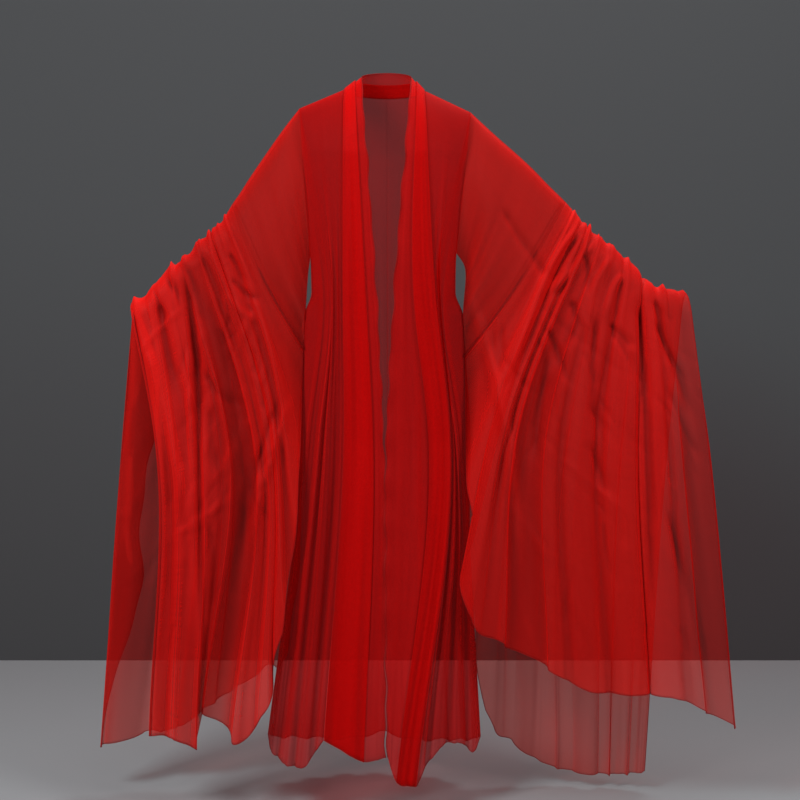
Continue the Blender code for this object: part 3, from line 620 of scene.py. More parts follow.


# %% [markdown]
# ## Creases laid one by one
# The large folds come from the tables, but the eye reads cloth by its creases: the soft troughs and
# ridges that run from a gather and die out. Sculpting could make them; here each is a short line with
# a width and a depth, and the surface near that line is pushed in or out by a bell curve.

# %% Crease lines
CREASE_COLUMNS = "crease x1 z1 x2 z2 x3 z3 width depth"
CREASES_LEFT_FRONT = table(
    CREASE_COLUMNS,
    ("wide_strip_edge", -0.415, -0.339, -0.385, -0.600, -0.372, -1.220, 0.007, -0.013),
    ("wide_strip_ridge", -0.425, -0.345, -0.398, -0.600, -0.386, -1.200, 0.008, 0.008),
    ("cuff_crest", -0.500, -0.430, -0.462, -0.680, -0.470, -1.200, 0.016, 0.010),
    ("under_seam_pleat", -0.385, -0.311, -0.340, -0.410, -0.292, -0.570, 0.012, -0.010),
    ("under_seam_crest", -0.372, -0.300, -0.318, -0.410, -0.276, -0.530, 0.010, 0.008),
    ("second_pleat", -0.415, -0.339, -0.390, -0.399, -0.366, -0.500, 0.009, -0.009),
    ("third_pleat", -0.454, -0.361, -0.414, -0.440, -0.396, -0.640, 0.010, -0.009),
    ("outer_pleat", -0.476, -0.397, -0.462, -0.425, -0.448, -0.470, 0.007, -0.006),
    ("long_crest", -0.485, -0.500, -0.447, -0.658, -0.378, -0.943, 0.014, 0.012),
    ("cuff_trough", -0.462, -0.420, -0.449, -0.497, -0.420, -0.640, 0.011, -0.010),
    ("deep_trough", -0.404, -0.367, -0.385, -0.537, -0.375, -0.820, 0.010, -0.014),
    ("inner_sweep", -0.214, -0.600, -0.283, -0.820, -0.345, -1.100, 0.008, -0.008),
    ("inner_sweep_crest", -0.190, -0.600, -0.264, -0.840, -0.325, -1.120, 0.011, 0.009),
    ("elbow_pucker_a", -0.322, -0.322, -0.302, -0.352, -0.286, -0.398, 0.007, -0.006),
    ("elbow_pucker_b", -0.318, -0.372, -0.286, -0.404, -0.250, -0.420, 0.007, -0.006),
    ("elbow_pucker_c", -0.330, -0.400, -0.296, -0.440, -0.256, -0.462, 0.008, 0.006),
    ("slack_a", -0.372, -0.560, -0.334, -0.612, -0.286, -0.640, 0.008, -0.006),
    ("slack_b", -0.360, -0.630, -0.356, -0.700, -0.344, -0.780, 0.008, -0.006),
    ("slack_c", -0.340, -0.470, -0.322, -0.530, -0.288, -0.610, 0.008, -0.007),
    ("slack_d", -0.275, -0.650, -0.304, -0.705, -0.350, -0.800, 0.009, 0.006),
    ("slack_e", -0.360, -0.860, -0.352, -0.960, -0.362, -1.080, 0.009, -0.006))
CREASES_RIGHT_FRONT = table(
    CREASE_COLUMNS,
    ("seam_pleat", 0.391, -0.261, 0.320, -0.376, 0.228, -0.630, 0.009, 0.010),
    ("seam_pleat_trough", 0.400, -0.270, 0.333, -0.386, 0.240, -0.640, 0.008, -0.009),
    ("second_pleat", 0.423, -0.299, 0.375, -0.362, 0.318, -0.410, 0.009, 0.011),
    ("second_trough", 0.415, -0.310, 0.368, -0.376, 0.330, -0.420, 0.007, -0.008),
    ("third_pleat", 0.453, -0.327, 0.420, -0.397, 0.400, -0.500, 0.009, 0.012),
    ("fourth_pleat", 0.480, -0.362, 0.456, -0.400, 0.438, -0.470, 0.008, 0.011),
    ("deep_fold", 0.510, -0.400, 0.523, -0.620, 0.541, -1.240, 0.010, -0.022),
    ("middle_line", 0.422, -0.440, 0.418, -0.580, 0.420, -0.700, 0.010, -0.012),
    ("cuff_sweep", 0.534, -0.385, 0.572, -0.527, 0.636, -0.680, 0.009, -0.010),
    ("lower_sweep", 0.556, -0.800, 0.616, -1.026, 0.663, -1.232, 0.013, -0.013),
    ("sleeve_fall", 0.231, -0.229, 0.271, -0.295, 0.338, -0.390, 0.009, -0.009),
    ("inner_border", 0.165, -0.385, 0.236, -0.650, 0.283, -1.013, 0.012, 0.012),
    ("slash_a", 0.322, -0.470, 0.349, -0.527, 0.372, -0.600, 0.007, -0.010),
    ("slash_b", 0.323, -0.561, 0.309, -0.658, 0.304, -0.760, 0.009, -0.009),
    ("slash_c", 0.408, -0.700, 0.430, -0.760, 0.462, -0.830, 0.009, -0.006),
    ("slash_d", 0.447, -0.462, 0.475, -0.490, 0.503, -0.520, 0.007, -0.008),
    ("slash_e", 0.450, -0.475, 0.485, -0.527, 0.516, -0.600, 0.007, -0.007),
    ("slash_f", 0.540, -0.455, 0.574, -0.530, 0.618, -0.600, 0.007, -0.009),
    ("slash_g", 0.372, -0.417, 0.386, -0.457, 0.366, -0.520, 0.008, -0.010),
    ("slash_h", 0.397, -0.317, 0.409, -0.357, 0.402, -0.410, 0.007, -0.008),
    ("slash_i", 0.566, -0.588, 0.602, -0.679, 0.640, -0.745, 0.008, -0.007))
CREASES_LEFT_BACK = table(
    CREASE_COLUMNS,
    ("seam_pleat", -0.350, -0.270, -0.305, -0.400, -0.262, -0.620, 0.010, -0.010),
    ("second_pleat", -0.395, -0.320, -0.368, -0.420, -0.340, -0.600, 0.010, -0.010),
    ("third_pleat", -0.440, -0.360, -0.416, -0.460, -0.400, -0.640, 0.010, 0.010),
    ("fourth_pleat", -0.480, -0.400, -0.466, -0.500, -0.460, -0.720, 0.011, -0.011),
    ("slack_a", -0.300, -0.560, -0.330, -0.640, -0.312, -0.740, 0.010, -0.009),
    ("slack_b", -0.260, -0.720, -0.300, -0.860, -0.290, -1.050, 0.012, 0.010),
    ("slack_c", -0.430, -0.760, -0.446, -0.900, -0.480, -1.150, 0.013, -0.012),
    ("slack_d", -0.350, -0.860, -0.372, -1.000, -0.380, -1.180, 0.012, -0.010))
CREASES_RIGHT_BACK = table(
    CREASE_COLUMNS,
    ("seam_pleat", 0.395, -0.270, 0.330, -0.400, 0.250, -0.640, 0.010, -0.010),
    ("second_pleat", 0.430, -0.310, 0.385, -0.420, 0.340, -0.600, 0.010, 0.011),
    ("third_pleat", 0.468, -0.350, 0.440, -0.460, 0.420, -0.680, 0.010, -0.011),
    ("fourth_pleat", 0.510, -0.395, 0.492, -0.500, 0.480, -0.720, 0.011, -0.011),
    ("slack_a", 0.330, -0.580, 0.360, -0.680, 0.340, -0.800, 0.010, -0.009),
    ("slack_b", 0.300, -0.840, 0.330, -1.000, 0.322, -1.200, 0.012, 0.010),
    ("slack_c", 0.420, -0.860, 0.430, -1.050, 0.420, -1.300, 0.013, -0.012),
    ("slack_d", 0.500, -0.800, 0.492, -0.950, 0.480, -1.200, 0.012, -0.010))


def creased(cloth, creases, side):
    """Cloth pushed along its crease lines: depth * exp(-(distance / width) squared), faded at both ends.

    Also gives a shade for each point, dark in the troughs and light on the ridges: the material paints it
    into the colour as shade and counts it as packed cloth.
    """
    shade = np.zeros(cloth.shape[:2])
    for row in range(len(creases["crease"])):
        points = np.array([[creases[f"{axis}{place}"][row] for axis in "xz"] for place in (1, 2, 3)])
        line = smooth((0.0, 0.5, 1.0), points, np.linspace(0.0, 1.0, 15))
        start, run = line[:-1], np.diff(line, axis=0)
        flat = cloth[:, :, None, ::2] - start
        part = np.clip((flat * run).sum(axis=-1) / (run * run).sum(axis=-1), 0.0, 1.0)
        distance = np.linalg.norm(flat - part[..., None] * run, axis=-1)
        nearest = distance.argmin(axis=-1)
        close = np.take_along_axis(distance, nearest[..., None], axis=-1)[..., 0]
        at = (nearest + np.take_along_axis(part, nearest[..., None], axis=-1)[..., 0]) / len(run)
        fade = eased(at / 0.18) * eased((1.0 - at) / 0.30)
        width = creases["width"][row] * (0.7 + 0.6 * at)
        depth = creases["depth"][row]
        cloth[:, :, 1] += side * depth * fade * np.exp(-(close / width)**2)
        shade -= np.sign(depth) * min(1.0, abs(depth) / 0.011) * fade * np.exp(-(close / (0.75 * width))**2)
    return cloth, shade


# %% [markdown]
# ## Layers that lie together
# Where the sleeve was pushed up, the cloth lies in flat laps that touch each other. Modelling every
# lap would only make surfaces that fight for the same place, so the cloth carries a number instead:
# how many layers are packed there. The material turns it into density.

# %% Packed layers
# For each crest from the seam to the cuff: the layers at the arm, and those at the lower edge
LAYERS = {
    "left_front": ((1.2, 1.8, 1.6, 1.6, 1.6, 1.8, 3.2, 3.8, 3.6),
                   (1.3, 2.8, 3.0, 3.4, 3.2, 1.0, 3.2, 3.8, 3.0)),
    "left_back": ((1.3, 1.5, 1.2, 1.1, 1.1, 1.2, 1.2, 1.3, 2.2),
                  (1.2, 1.3, 1.0, 0.9, 0.9, 1.0, 1.0, 1.1, 1.8)),
    "right_front": ((1.3, 3.2, 2.0, 2.0, 2.0, 2.0, 2.4, 2.8, 1.5, 1.2),
                    (1.3, 3.0, 2.2, 1.9, 1.9, 1.9, 2.2, 2.2, 0.9, 0.9)),
    "right_back": ((1.3, 1.9, 1.3, 1.1, 1.1, 1.1, 1.2, 1.2, 1.2, 1.2),
                   (1.2, 1.5, 1.0, 0.9, 0.9, 0.9, 0.9, 0.9, 0.9, 1.1))}


def packed_layers(name, columns, steps):
    """Layers on one half of a sleeve end: curves across the folds, blended from top to bottom."""
    upper, lower = LAYERS[name]
    places = np.arange(len(upper)) + SEAM_ROW
    down = eased(np.linspace(-0.1, 1.05, steps))
    return (smooth(places, upper, columns)[:, None] * (1.0 - down)
            + smooth(places, lower, columns)[:, None] * down)


# %% Sleeve surfaces
def sleeve_surface(front_rows, back_rows, front, creases, columns, strength, ripples):
    """A sleeve from the front's lower edge over the arm to the back's, then swung forward with it.

    Also gives the fold number of each point, which the material paints into the colour as shade and counts as
    packed cloth: its hollows, weaker far below the arm, and its creases.
    """
    halves, shades = [], []
    for rows, side, lines in ((front_rows, -1.0, creases[0]), (back_rows, 1.0, creases[1])):
        crests = sleeve_crests(rows, front, side)
        cloth, drop, over = folded(crests, rows, side, columns)
        cloth = pleated(cloth, drop, over, columns, side, strength, ripples)
        cloth, shade = creased(cloth, lines, side)
        halves.append(cloth)
        shades.append(shade)
    top = 0.5 * (halves[0][:, :1] + halves[1][:, :1])
    cloth = np.concatenate((halves[0][:, :0:-1], top, halves[1][:, 1:]), axis=1)
    cloth[:, :, 1] -= FOREARM_REACH * eased((np.abs(cloth[:, :, 0]) - ARM_START) / ARM_SPAN)
    crease_shade_and_packing = np.concatenate((shades[0][:, :0:-1], shades[1]), axis=1)
    drop = top[:, :, 2] - cloth[:, :, 2]
    # Far below the arm the fold number, and with it the painted shade, falls to half
    near_arm = 0.50 + 0.50 * np.exp(-drop / 0.22)
    return cloth, near_arm * hollows(cloth) + 0.30 * crease_shade_and_packing


def sleeve_layers(hand, columns, steps):
    """Layers of a whole sleeve end, from the front's lower edge over the arm to the back's."""
    half = steps // 2 + 1
    front, back = (packed_layers(f"{hand}_{side}", columns, half) for side in ("front", "back"))
    return np.concatenate((front[:, ::-1], back[:, 1:]), axis=1)


# %% Small creases
def small_creases(seed, count, low, high, slant, spread=0.45):
    """Short creases of handled chiffon, scattered evenly by a seeded draw between two corners.

    Each runs down at the slant (sideways for each unit down), give or take the spread, for 5 to
    15 cm, with a slight bend; it is 3 to 7 mm wide and 1 to 3 mm deep or high.
    """
    draw = np.random.default_rng(seed)
    x, z = draw.uniform(low[0], high[0], count), draw.uniform(low[1], high[1], count)
    length, lean = draw.uniform(0.05, 0.15, count), slant + draw.normal(0.0, spread, count)
    bend = draw.normal(0.0, 0.008, count)
    deep = draw.uniform(0.0012, 0.0030, count) * draw.choice((-1.0, -1.0, 1.0), count)
    return {"crease": np.arange(count), "x1": x, "z1": z, "x2": x + 0.5 * length * lean + bend,
            "z2": z - 0.5 * length, "x3": x + length * lean, "z3": z - length,
            "width": draw.uniform(0.0035, 0.0070, count), "depth": deep}


def with_small(creases, *more):
    """A crease table with the rows of other tables added."""
    return {name: np.concatenate([np.asarray(part[name]) for part in (creases, *more)]) for name in creases}


left_creases = (
    with_small(CREASES_LEFT_FRONT, small_creases(3, 34, (-0.40, -0.86), (-0.22, -0.36), -0.35),
               small_creases(4, 16, (-0.52, -1.25), (-0.30, -0.70), -0.15, 0.2)),
    with_small(CREASES_LEFT_BACK, small_creases(7, 30, (-0.56, -1.10), (-0.24, -0.40), -0.20, 0.3)))
right_creases = (
    with_small(CREASES_RIGHT_FRONT, small_creases(5, 44, (0.22, -0.82), (0.62, -0.40), 0.40),
               small_creases(6, 18, (0.25, -1.20), (0.60, -0.80), 0.30, 0.3)),
    with_small(CREASES_RIGHT_BACK, small_creases(8, 34, (0.24, -1.15), (0.64, -0.42), 0.25, 0.3)))
# Columns of the grids, counted in crests from the armhole
left_columns, right_columns = np.linspace(SEAM_ROW, 11, 132), np.linspace(SEAM_ROW, 12, 150)
upper_columns = np.linspace(0, SEAM_ROW, 60)
left_rows = (SLEEVE_LEFT_FRONT, SLEEVE_LEFT_BACK, FRONT_LEFT, left_creases)
right_rows = (SLEEVE_RIGHT_FRONT, SLEEVE_RIGHT_BACK, FRONT_RIGHT, right_creases)
left, left_folds = sleeve_surface(*left_rows, left_columns, 0.012, 0.0025)
right, right_folds = sleeve_surface(*right_rows, right_columns, 0.012, 0.0025)
upper_left, upper_left_folds = sleeve_surface(*left_rows, upper_columns, 0.003, 0.002)
upper_right, upper_right_folds = sleeve_surface(*right_rows, upper_columns, 0.003, 0.002)

# %% [markdown]
# ## A flap turned forward
# The left sleeve's back hangs further out than its front, and its outer edge lies folded forward over
# itself. The grid is simply carried on past its last column, round a tight bend and back inwards.

# %% Turned edge
# How wide the flap is at each height
TURNED_BACK = table(
    "place z width",
    ("wrist", -0.425, 0.004), ("below_wrist", -0.520, 0.050), ("hidden", -0.620, 0.072),
    ("apex", -0.700, 0.074), ("upper", -0.820, 0.054), ("waist", -0.920, 0.045),
    ("lower", -1.040, 0.074), ("taper", -1.210, 0.022), ("end", -1.300, 0.004), ("hem", -1.400, 0.003))


FLAP_COLUMNS = 18
FLAP_HEM = 0.004  # width turned under on the front half, where there is no flap
FLAP_BEND = 0.004  # how far forward the bend stands
FLAP_WAVE = 0.004
FLAP_LAYERS = 2.6


def turned_edge(cloth, folds, layers):
    """The cloth's last column carried on, round a bend and back over itself.

    x moves inwards by width * share to a power. The depth moves forward by the bend, along a quarter
    of a sine, sags by half of a sine and waves a little.
    """
    edge = cloth[-1]
    half = len(edge) // 2
    order = np.argsort(TURNED_BACK["z"])
    width = np.interp(edge[:, 2], TURNED_BACK["z"][order], TURNED_BACK["width"][order])
    width[:half] = FLAP_HEM
    width = blurred(width[:, None], 6, 0)[:, 0]
    width *= 1.0 + 0.06 * np.sin(19.0 * edge[:, 2]) + 0.04 * np.sin(43.0 * edge[:, 2])
    share = np.linspace(0.0, 1.0, FLAP_COLUMNS + 1)[1:, None]
    inward = -np.sign(edge[:, 0])
    flap = np.repeat(edge[None], FLAP_COLUMNS, axis=0)
    flap[:, :, 0] += inward * width * share**1.15
    bend = FLAP_BEND * np.sin(0.5 * math.pi * np.clip(share / 0.25, 0.0, 1.0))
    sag = 0.10 * width * np.sin(math.pi * share) * (0.7 + 0.5 * np.sin(13.0 * edge[:, 2]))
    flap[:, :, 1] -= bend + sag
    wave = np.sin(2.0 * math.pi * (1.4 * share + 1.3 * edge[:, 2])) * np.clip(width / 0.07, 0.0, 1.0)
    flap[:, :, 1] += FLAP_WAVE * wave
    # The flap's fold number follows its wave, so shade is painted into the colour along every other wave
    return (np.concatenate((cloth, flap)), np.concatenate((folds, 0.35 * wave)),
            np.concatenate((layers, np.full(flap.shape[:2], FLAP_LAYERS))))


left_layers = sleeve_layers("left", left_columns, left.shape[1])
left, left_folds, left_layers = turned_edge(left, left_folds, left_layers)
sleeve_end_left = cloth_piece("sleeve_end_left_cloth", left, sleeve_end_cloth, folds=left_folds,
                              layers=left_layers)
sleeve_end_right = cloth_piece("sleeve_end_right_cloth", right, sleeve_end_cloth, folds=right_folds,
                               layers=sleeve_layers("right", right_columns, right.shape[1]))
sleeve_left = cloth_piece("sleeve_left_cloth", upper_left[:, ::2], sleeve_cloth, ring=True,
                          folds=upper_left_folds[:, ::2])
sleeve_right = cloth_piece("sleeve_right_cloth", upper_right[:, ::2], sleeve_cloth, ring=True,
                           folds=upper_right_folds[:, ::2])

# %% [markdown]
# ## Fronts and backs
# A panel of the body hangs from the neck, the shoulder or the armhole down to the hem. It is wide at
# the hem and narrow at the chest, so it falls in upright folds that are flat above and deep below.

# %% Body panels
BODY_STEPS = np.linspace(0.0, 1.0, 170)**1.5  # shares of the way down, closer together above


def depth_at(profile, height):
    """Depth of the gown at a height, in straight lines between the profile's points."""
    heights, depths = np.array(profile)[::-1].T
    return np.interp(height, heights, depths)


def body_panel(rows, profile, side, columns, tops, ripples=0.003, side_swell=0.015):
    """A panel from the exact upper ends of its columns down to the hem.

    x follows a smooth curve through the hem, the waist, the chest and the top; the depth is the
    gown's profile, rounded over the shoulder, less a trough between each two lines. Ripples are slow
    waves across, and side_swell is how far the last gap stands out sideways below the chest.
    """
    count = len(rows["line"])
    places = np.arange(count)
    gap = np.clip(np.floor(columns).astype(int), 0, count - 2)
    turn = 2.0 * math.pi * (columns - gap)
    fore = smooth(places, rows["fore"], columns)[:, None]
    hem = smooth(places, rows["hem_z"], columns)
    across = [smooth(places, rows[name], columns) for name in ("hem_x", "waist_x", "chest_x")]
    height = tops[:, 2:] + (hem[:, None] - tops[:, 2:]) * BODY_STEPS
    stations = np.stack((hem, np.full(len(hem), WAIST), np.full(len(hem), CHEST), tops[:, 2]))
    x = smooth(stations, np.stack((*across, tops[:, 0])), height)
    drop = tops[:, 2:] - height
    own = np.abs(tops[:, 1:2])
    reach = own + (fore * depth_at(profile, height) - own) * turned_over(drop, SHOULDER_DROP)
    fall = eased(drop / 0.9) * (0.5 * (1.0 - np.cos(turn)) * rows["trough"][gap])[:, None]
    u = columns[:, None]
    hand = 0.4 if side < 0 else 2.1
    wave = np.sin(2.0 * math.pi * (1.8 * u + 0.35 * np.sin(3.1 * drop + u)) + hand)
    wave = wave + 0.5 * np.sin(2.0 * math.pi * (3.7 * u - 0.3 * np.sin(4.3 * drop)) - hand)
    calm = np.minimum(1.0, 2.0 * fore)
    reach = reach - fall * calm + ripples * wave * calm * eased(drop / 0.5)
    outermost = eased((columns - (count - 2.0)))[:, None] * np.sign(x)
    x = x + side_swell * outermost * eased((-0.405 - height) / 0.05) * eased((height + 0.95) / 0.30)
    cloth = np.stack((x, side * reach, height), axis=-1)
    cloth[:, 0] = tops
    return cloth


def half_ring(side_point, centre_back, angle):
    """Quarter ellipse from a point at the side of the neck round to the centre back."""
    turn = np.sin(angle)
    return np.stack((side_point[0] * np.cos(angle), centre_back[0] * turn,
                     side_point[1] + (centre_back[1] - side_point[1]) * turn), axis=1)


def shoulder_points(front, share):
    """Straight line of the shoulder seam, from the collar to the top of the armhole."""
    start = np.array((front["top_x"][0], 0.0, front["top_z"][0]))
    end = np.array((front["top_x"][2], 0.0, front["top_z"][2]))
    return start + (end - start) * share[:, None]


def front_panel(front):
    """A front, from its collar seam over the shoulder and the armhole to its side seam."""
    shoulder, hole = np.linspace(0.0, 1.0, 33), np.linspace(0.0, 1.0, 33)[1:]
    tops = np.concatenate((shoulder_points(front, shoulder), armhole(front, -1.0, hole)))
    panel = body_panel(front, FRONT_DEPTH, -1.0, np.concatenate((2.0 * shoulder, 2.0 + 2.0 * hole)), tops)
    panel[-1, 1:, 1] = 0.0
    return panel


def back_panel(back, front):
    """A back, from the centre seam round the neck, over the shoulder and the armhole to its side seam."""
    neck, share = np.linspace(0.0, 1.0, 21), np.linspace(0.0, 1.0, 33)[1:]
    ring = half_ring((front["top_x"][0], front["top_z"][0]), NECK_SEAM_BACK, (1.0 - neck) * math.pi / 2)
    tops = np.concatenate((ring, shoulder_points(front, share), armhole(front, 1.0, share)))
    columns = np.concatenate((neck, 1.0 + 2.0 * share, 3.0 + 2.0 * share))
    panel = body_panel(back, BACK_DEPTH, 1.0, columns, tops)
    panel[-1, 1:, 1] = 0.0
    return panel


fronts = {"left": FRONT_LEFT, "right": FRONT_RIGHT}
backs = {"left": BACK_LEFT, "right": BACK_RIGHT}
fronts_grid = {hand: front_panel(rows) for hand, rows in fronts.items()}
backs_grid = {hand: back_panel(rows, fronts[hand]) for hand, rows in backs.items()}
BODY_FOLDS = 0.45  # the body's folds are open, so little cloth is packed in them and their painted shade is weak
front_cloth = {hand: cloth_piece(f"front_{hand}_cloth", grid, body_cloth, folds=BODY_FOLDS * hollows(grid))
               for hand, grid in fronts_grid.items()}
back_cloth = {hand: cloth_piece(f"back_{hand}_cloth", grid, body_cloth, folds=BODY_FOLDS * hollows(grid))
              for hand, grid in backs_grid.items()}

# %% [markdown]
# ## Collar band
# The collar is one long strip from hem to hem round the back of the neck. On the real robe it is
# folded: from the seam the cloth runs to the fold, back to the seam and forward again to the free
# edge. So its outer part is three layers thick and looks solid, and its inner edge is a single layer.

# %% Collar band
def band_half(band, columns, layers):
    """One half of the band, for columns from 0, the free edge, to 2, the seam.

    layers says for each column how far the layer lies in front of the middle one.
    """
    places = np.arange(3)
    top_x, top_z = (smooth(places, band[name], columns) for name in ("top_x", "top_z"))
    tops = np.stack((top_x, np.zeros(len(columns)), top_z), axis=1)
    falling = body_panel(band, FRONT_DEPTH, -1.0, columns, tops, 0.0015, 0.0)
    drop = tops[:, 2:] - falling[:, :, 2]
    frill = np.exp(-columns / 0.16)[:, None] * eased(drop / 0.08)
    # The free edge frills: it wanders 1.6 mm sideways and 3 mm in depth, less and less inwards
    wave = np.sin(74.0 * drop + 1.2 * np.sin(9.0 * drop)) + 0.6 * np.sin(41.0 * drop + 0.7)
    falling[:, :, 0] += 0.0016 * frill * wave
    falling[:, :, 1] += 0.0030 * frill * np.sin(61.0 * drop + 1.9 * np.sin(7.0 * drop))
    falling[:, :, 1] -= layers[:, None] * eased(drop / 0.03)
    angle = np.linspace(0.0, math.pi / 2, 40)[1:]
    share = columns[:, None] / 2.0
    centre = np.array(NECK_EDGE_BACK) + (np.array(NECK_SEAM_BACK) - np.array(NECK_EDGE_BACK)) * share
    turn = np.sin(angle)[None]
    behind = np.stack((tops[:, :1] * np.cos(angle)[None], centre[:, :1] * turn,
                       tops[:, 2:] + (centre[:, 1:] - tops[:, 2:]) * turn), axis=-1)
    behind[:, :, 1] += layers[:, None] * turn
    behind[:, :, 2] += layers[:, None] * (1.0 - turn)
    falling[:, :, 2] += layers[:, None] * (1.0 - eased(drop / 0.03))
    return np.concatenate((falling[:, ::-1], behind), axis=1)


# From the seam to the fold, back to the seam, and forward to the free edge
FOLD = 0.92
LAYER_GAP = 0.0022
band_columns = np.concatenate((np.linspace(1.99, FOLD, 20), np.linspace(FOLD + 0.012, 1.985, 20),
                               np.linspace(1.99, 0.0, 34)))
band_layers = LAYER_GAP * np.repeat((1.0, 0.0, -1.0), (20, 20, 34))
halves = [band_half(band, band_columns, band_layers) for band in (BAND_LEFT, BAND_RIGHT)]
band_grid = np.concatenate((halves[0], halves[1][:, -2::-1]), axis=1)
# Soft upright folds within the band are not in its shape: stripes of the fold number paint their shade into
# the colour and make the cloth denser there
band_drop = -band_grid[:, :, 2]
band_across = band_columns[:, None] + 0.08 * np.sin(5.0 * band_drop)
broad = np.sin(2.0 * math.pi * (1.15 * band_across + 0.1 * np.sin(3.0 * band_drop)) + 0.6)
narrow = np.sin(2.0 * math.pi * (2.7 * band_across - 0.12 * np.sin(4.1 * band_drop)))
band_painted_shade_and_packing = (0.55 * broad + 0.35 * narrow) * 0.55 - 0.15
collar = cloth_piece("collar_band_cloth", band_grid, collar_cloth, folds=band_painted_shade_and_packing)

# %% [markdown]
# ## Rolled hems and overlocked seams
# Chiffon frays, so its edges are rolled into a hem about two millimetres thick, and its inner seams
# are bound with a zigzag of thread. Both are thin tubes along lines that the cloth already has. A
# bevelled curve would give the same tube; here it is a mesh, and the thread's twist lies in object space.

# %% Tubes along edges
def tube_points(line, radius, sides):
    """Circles round a line: the centre plus radius * (cosine * side + sine * other side)."""
    ahead = np.gradient(line, axis=0)
    ahead /= np.maximum(np.linalg.norm(ahead, axis=1, keepdims=True), 1e-9)
    level = np.cross(ahead, np.array((0.13, 0.99, 0.05)))
    level /= np.maximum(np.linalg.norm(level, axis=1, keepdims=True), 1e-9)
    other = np.cross(ahead, level)
    turn = np.linspace(0.0, 2.0 * math.pi, sides, endpoint=False)[None, :, None]
    return line[:, None] + radius * (np.cos(turn) * level[:, None] + np.sin(turn) * other[:, None])


def tubes(name, lines, radius, material, sides=6):
    """One mesh of closed tubes along several lines."""
    points, faces, first = [], [], 0
    for line in lines:
        ring = tube_points(line, radius, sides)
        count = len(line)
        a, b = np.meshgrid(np.arange(count - 1), np.arange(sides), indexing="ij")
        after = (b + 1) % sides
        quads = first + np.stack((a * sides + b, a * sides + after,
                                  (a + 1) * sides + after, (a + 1) * sides + b), axis=-1).reshape(-1, 4)
        faces += quads.tolist()
        faces.append((first + np.arange(sides)[::-1]).tolist())
        faces.append((first + (count - 1) * sides + np.arange(sides)).tolist())
        points.append(ring.reshape(-1, 3))
        first += count * sides
    mesh = bpy.data.meshes.new(name)
    mesh.from_pydata(np.concatenate(points), [], faces)
    mesh.shade_smooth()
    mesh.materials.append(material)
    piece = bpy.data.objects.new(name, mesh)
    bpy.context.scene.collection.objects.link(piece)
    print(f"{name}: {len(lines)} tubes, {len(faces)} faces")
    return piece


def thread_material(name, colour, twist):
    """Dyed thread: a diagonal wave in object space gives the twist, as height and as shade."""
    material = bpy.data.materials.new(name)
    material.use_nodes = True
    nodes, links = material.node_tree.nodes, material.node_tree.links
    matt = nodes["Principled BSDF"]
    matt.inputs["Roughness"].default_value = 0.7
    matt.inputs["Specular IOR Level"].default_value = 0.15
    place = nodes.new("ShaderNodeTexCoord")
    wave = nodes.new("ShaderNodeTexWave")
    wave.bands_direction = "DIAGONAL"
    wave.inputs["Scale"].default_value = twist
    wave.inputs["Distortion"].default_value = 1.5
    links.new(place.outputs["Object"], wave.inputs["Vector"])
    shade = nodes.new("ShaderNodeMix")
    shade.data_type = "RGBA"
    shade.inputs["A"].default_value = (*[0.55 * part for part in colour], 1.0)
    shade.inputs["B"].default_value = (*colour, 1.0)
    links.new(wave.outputs["Fac"], shade.inputs["Factor"])
    links.new(shade.outputs["Result"], matt.inputs["Base Color"])
    bump = nodes.new("ShaderNodeBump")
    bump.inputs["Strength"].default_value = 0.4
    bump.inputs["Distance"].default_value = 0.0002
    links.new(wave.outputs["Fac"], bump.inputs["Height"])
    links.new(bump.outputs[0], matt.inputs["Normal"])
    return material


hem_roll = thread_material("rolled hem", (0.30, 0.004, 0.004), 260.0)
seam_thread = thread_material("overlock thread", (0.10, 0.002, 0.003), 420.0)
HEM_RADIUS = 0.0007
THREAD_RADIUS = 0.0003

# %% Hems of every piece
hemmed = {"sleeve_end_left": (left[-1], left[:, 0], left[:, -1]),
          "sleeve_end_right": (right[-1], right[:, 0], right[:, -1]),
          "front_left": (fronts_grid["left"][:, -1],), "front_right": (fronts_grid["right"][:, -1],),
          "back_left": (backs_grid["left"][:, -1],), "back_right": (backs_grid["right"][:, -1],),
          "collar_band": (band_grid[-1],)}
trims = {node: [tubes(f"{node}_hem", lines, HEM_RADIUS, hem_roll)] for node, lines in hemmed.items()}


# %% Overlocked seams
def overlock(line, inward, pitch=0.0032, reach=0.0045):
    """A zigzag beside a line: every half pitch the thread jumps from the line to reach beside it."""
    steps = np.linalg.norm(np.diff(line, axis=0), axis=1)
    along = np.concatenate(((0.0,), np.cumsum(steps)))
    at = np.arange(0.0, along[-1], 0.25 * pitch)
    path = np.stack([np.interp(at, along, line[:, axis]) for axis in range(3)], axis=1)
    zigzag = np.abs(np.mod(at / pitch, 1.0) * 2.0 - 1.0)[:, None]
    return path + np.asarray(inward) * reach * zigzag


for hand, turn, sleeve_end in (("left", 1.0, left), ("right", -1.0, right)):
    # Each line lies 1 to 3 mm off its seam, on the side where the seam's allowance is pressed
    side = fronts_grid[hand][-1] - (0.0, 0.0012, 0.0)
    collar_seam = fronts_grid[hand][0][8:] + (0.0, 0.003, 0.0)
    ring = sleeve_end[0] + (turn * 0.003, 0.0, 0.0)
    seams = overlock(side, (turn, 0.0, 0.0)), overlock(collar_seam, (-turn, 0.1, 0.0))
    trims[f"front_{hand}"].append(
        tubes(f"front_{hand}_overlock", seams, THREAD_RADIUS, seam_thread, 4))
    trims[f"sleeve_{hand}"] = [
        tubes(f"sleeve_{hand}_overlock", (overlock(ring, (turn, 0.0, 0.2)),), THREAD_RADIUS, seam_thread, 4)]
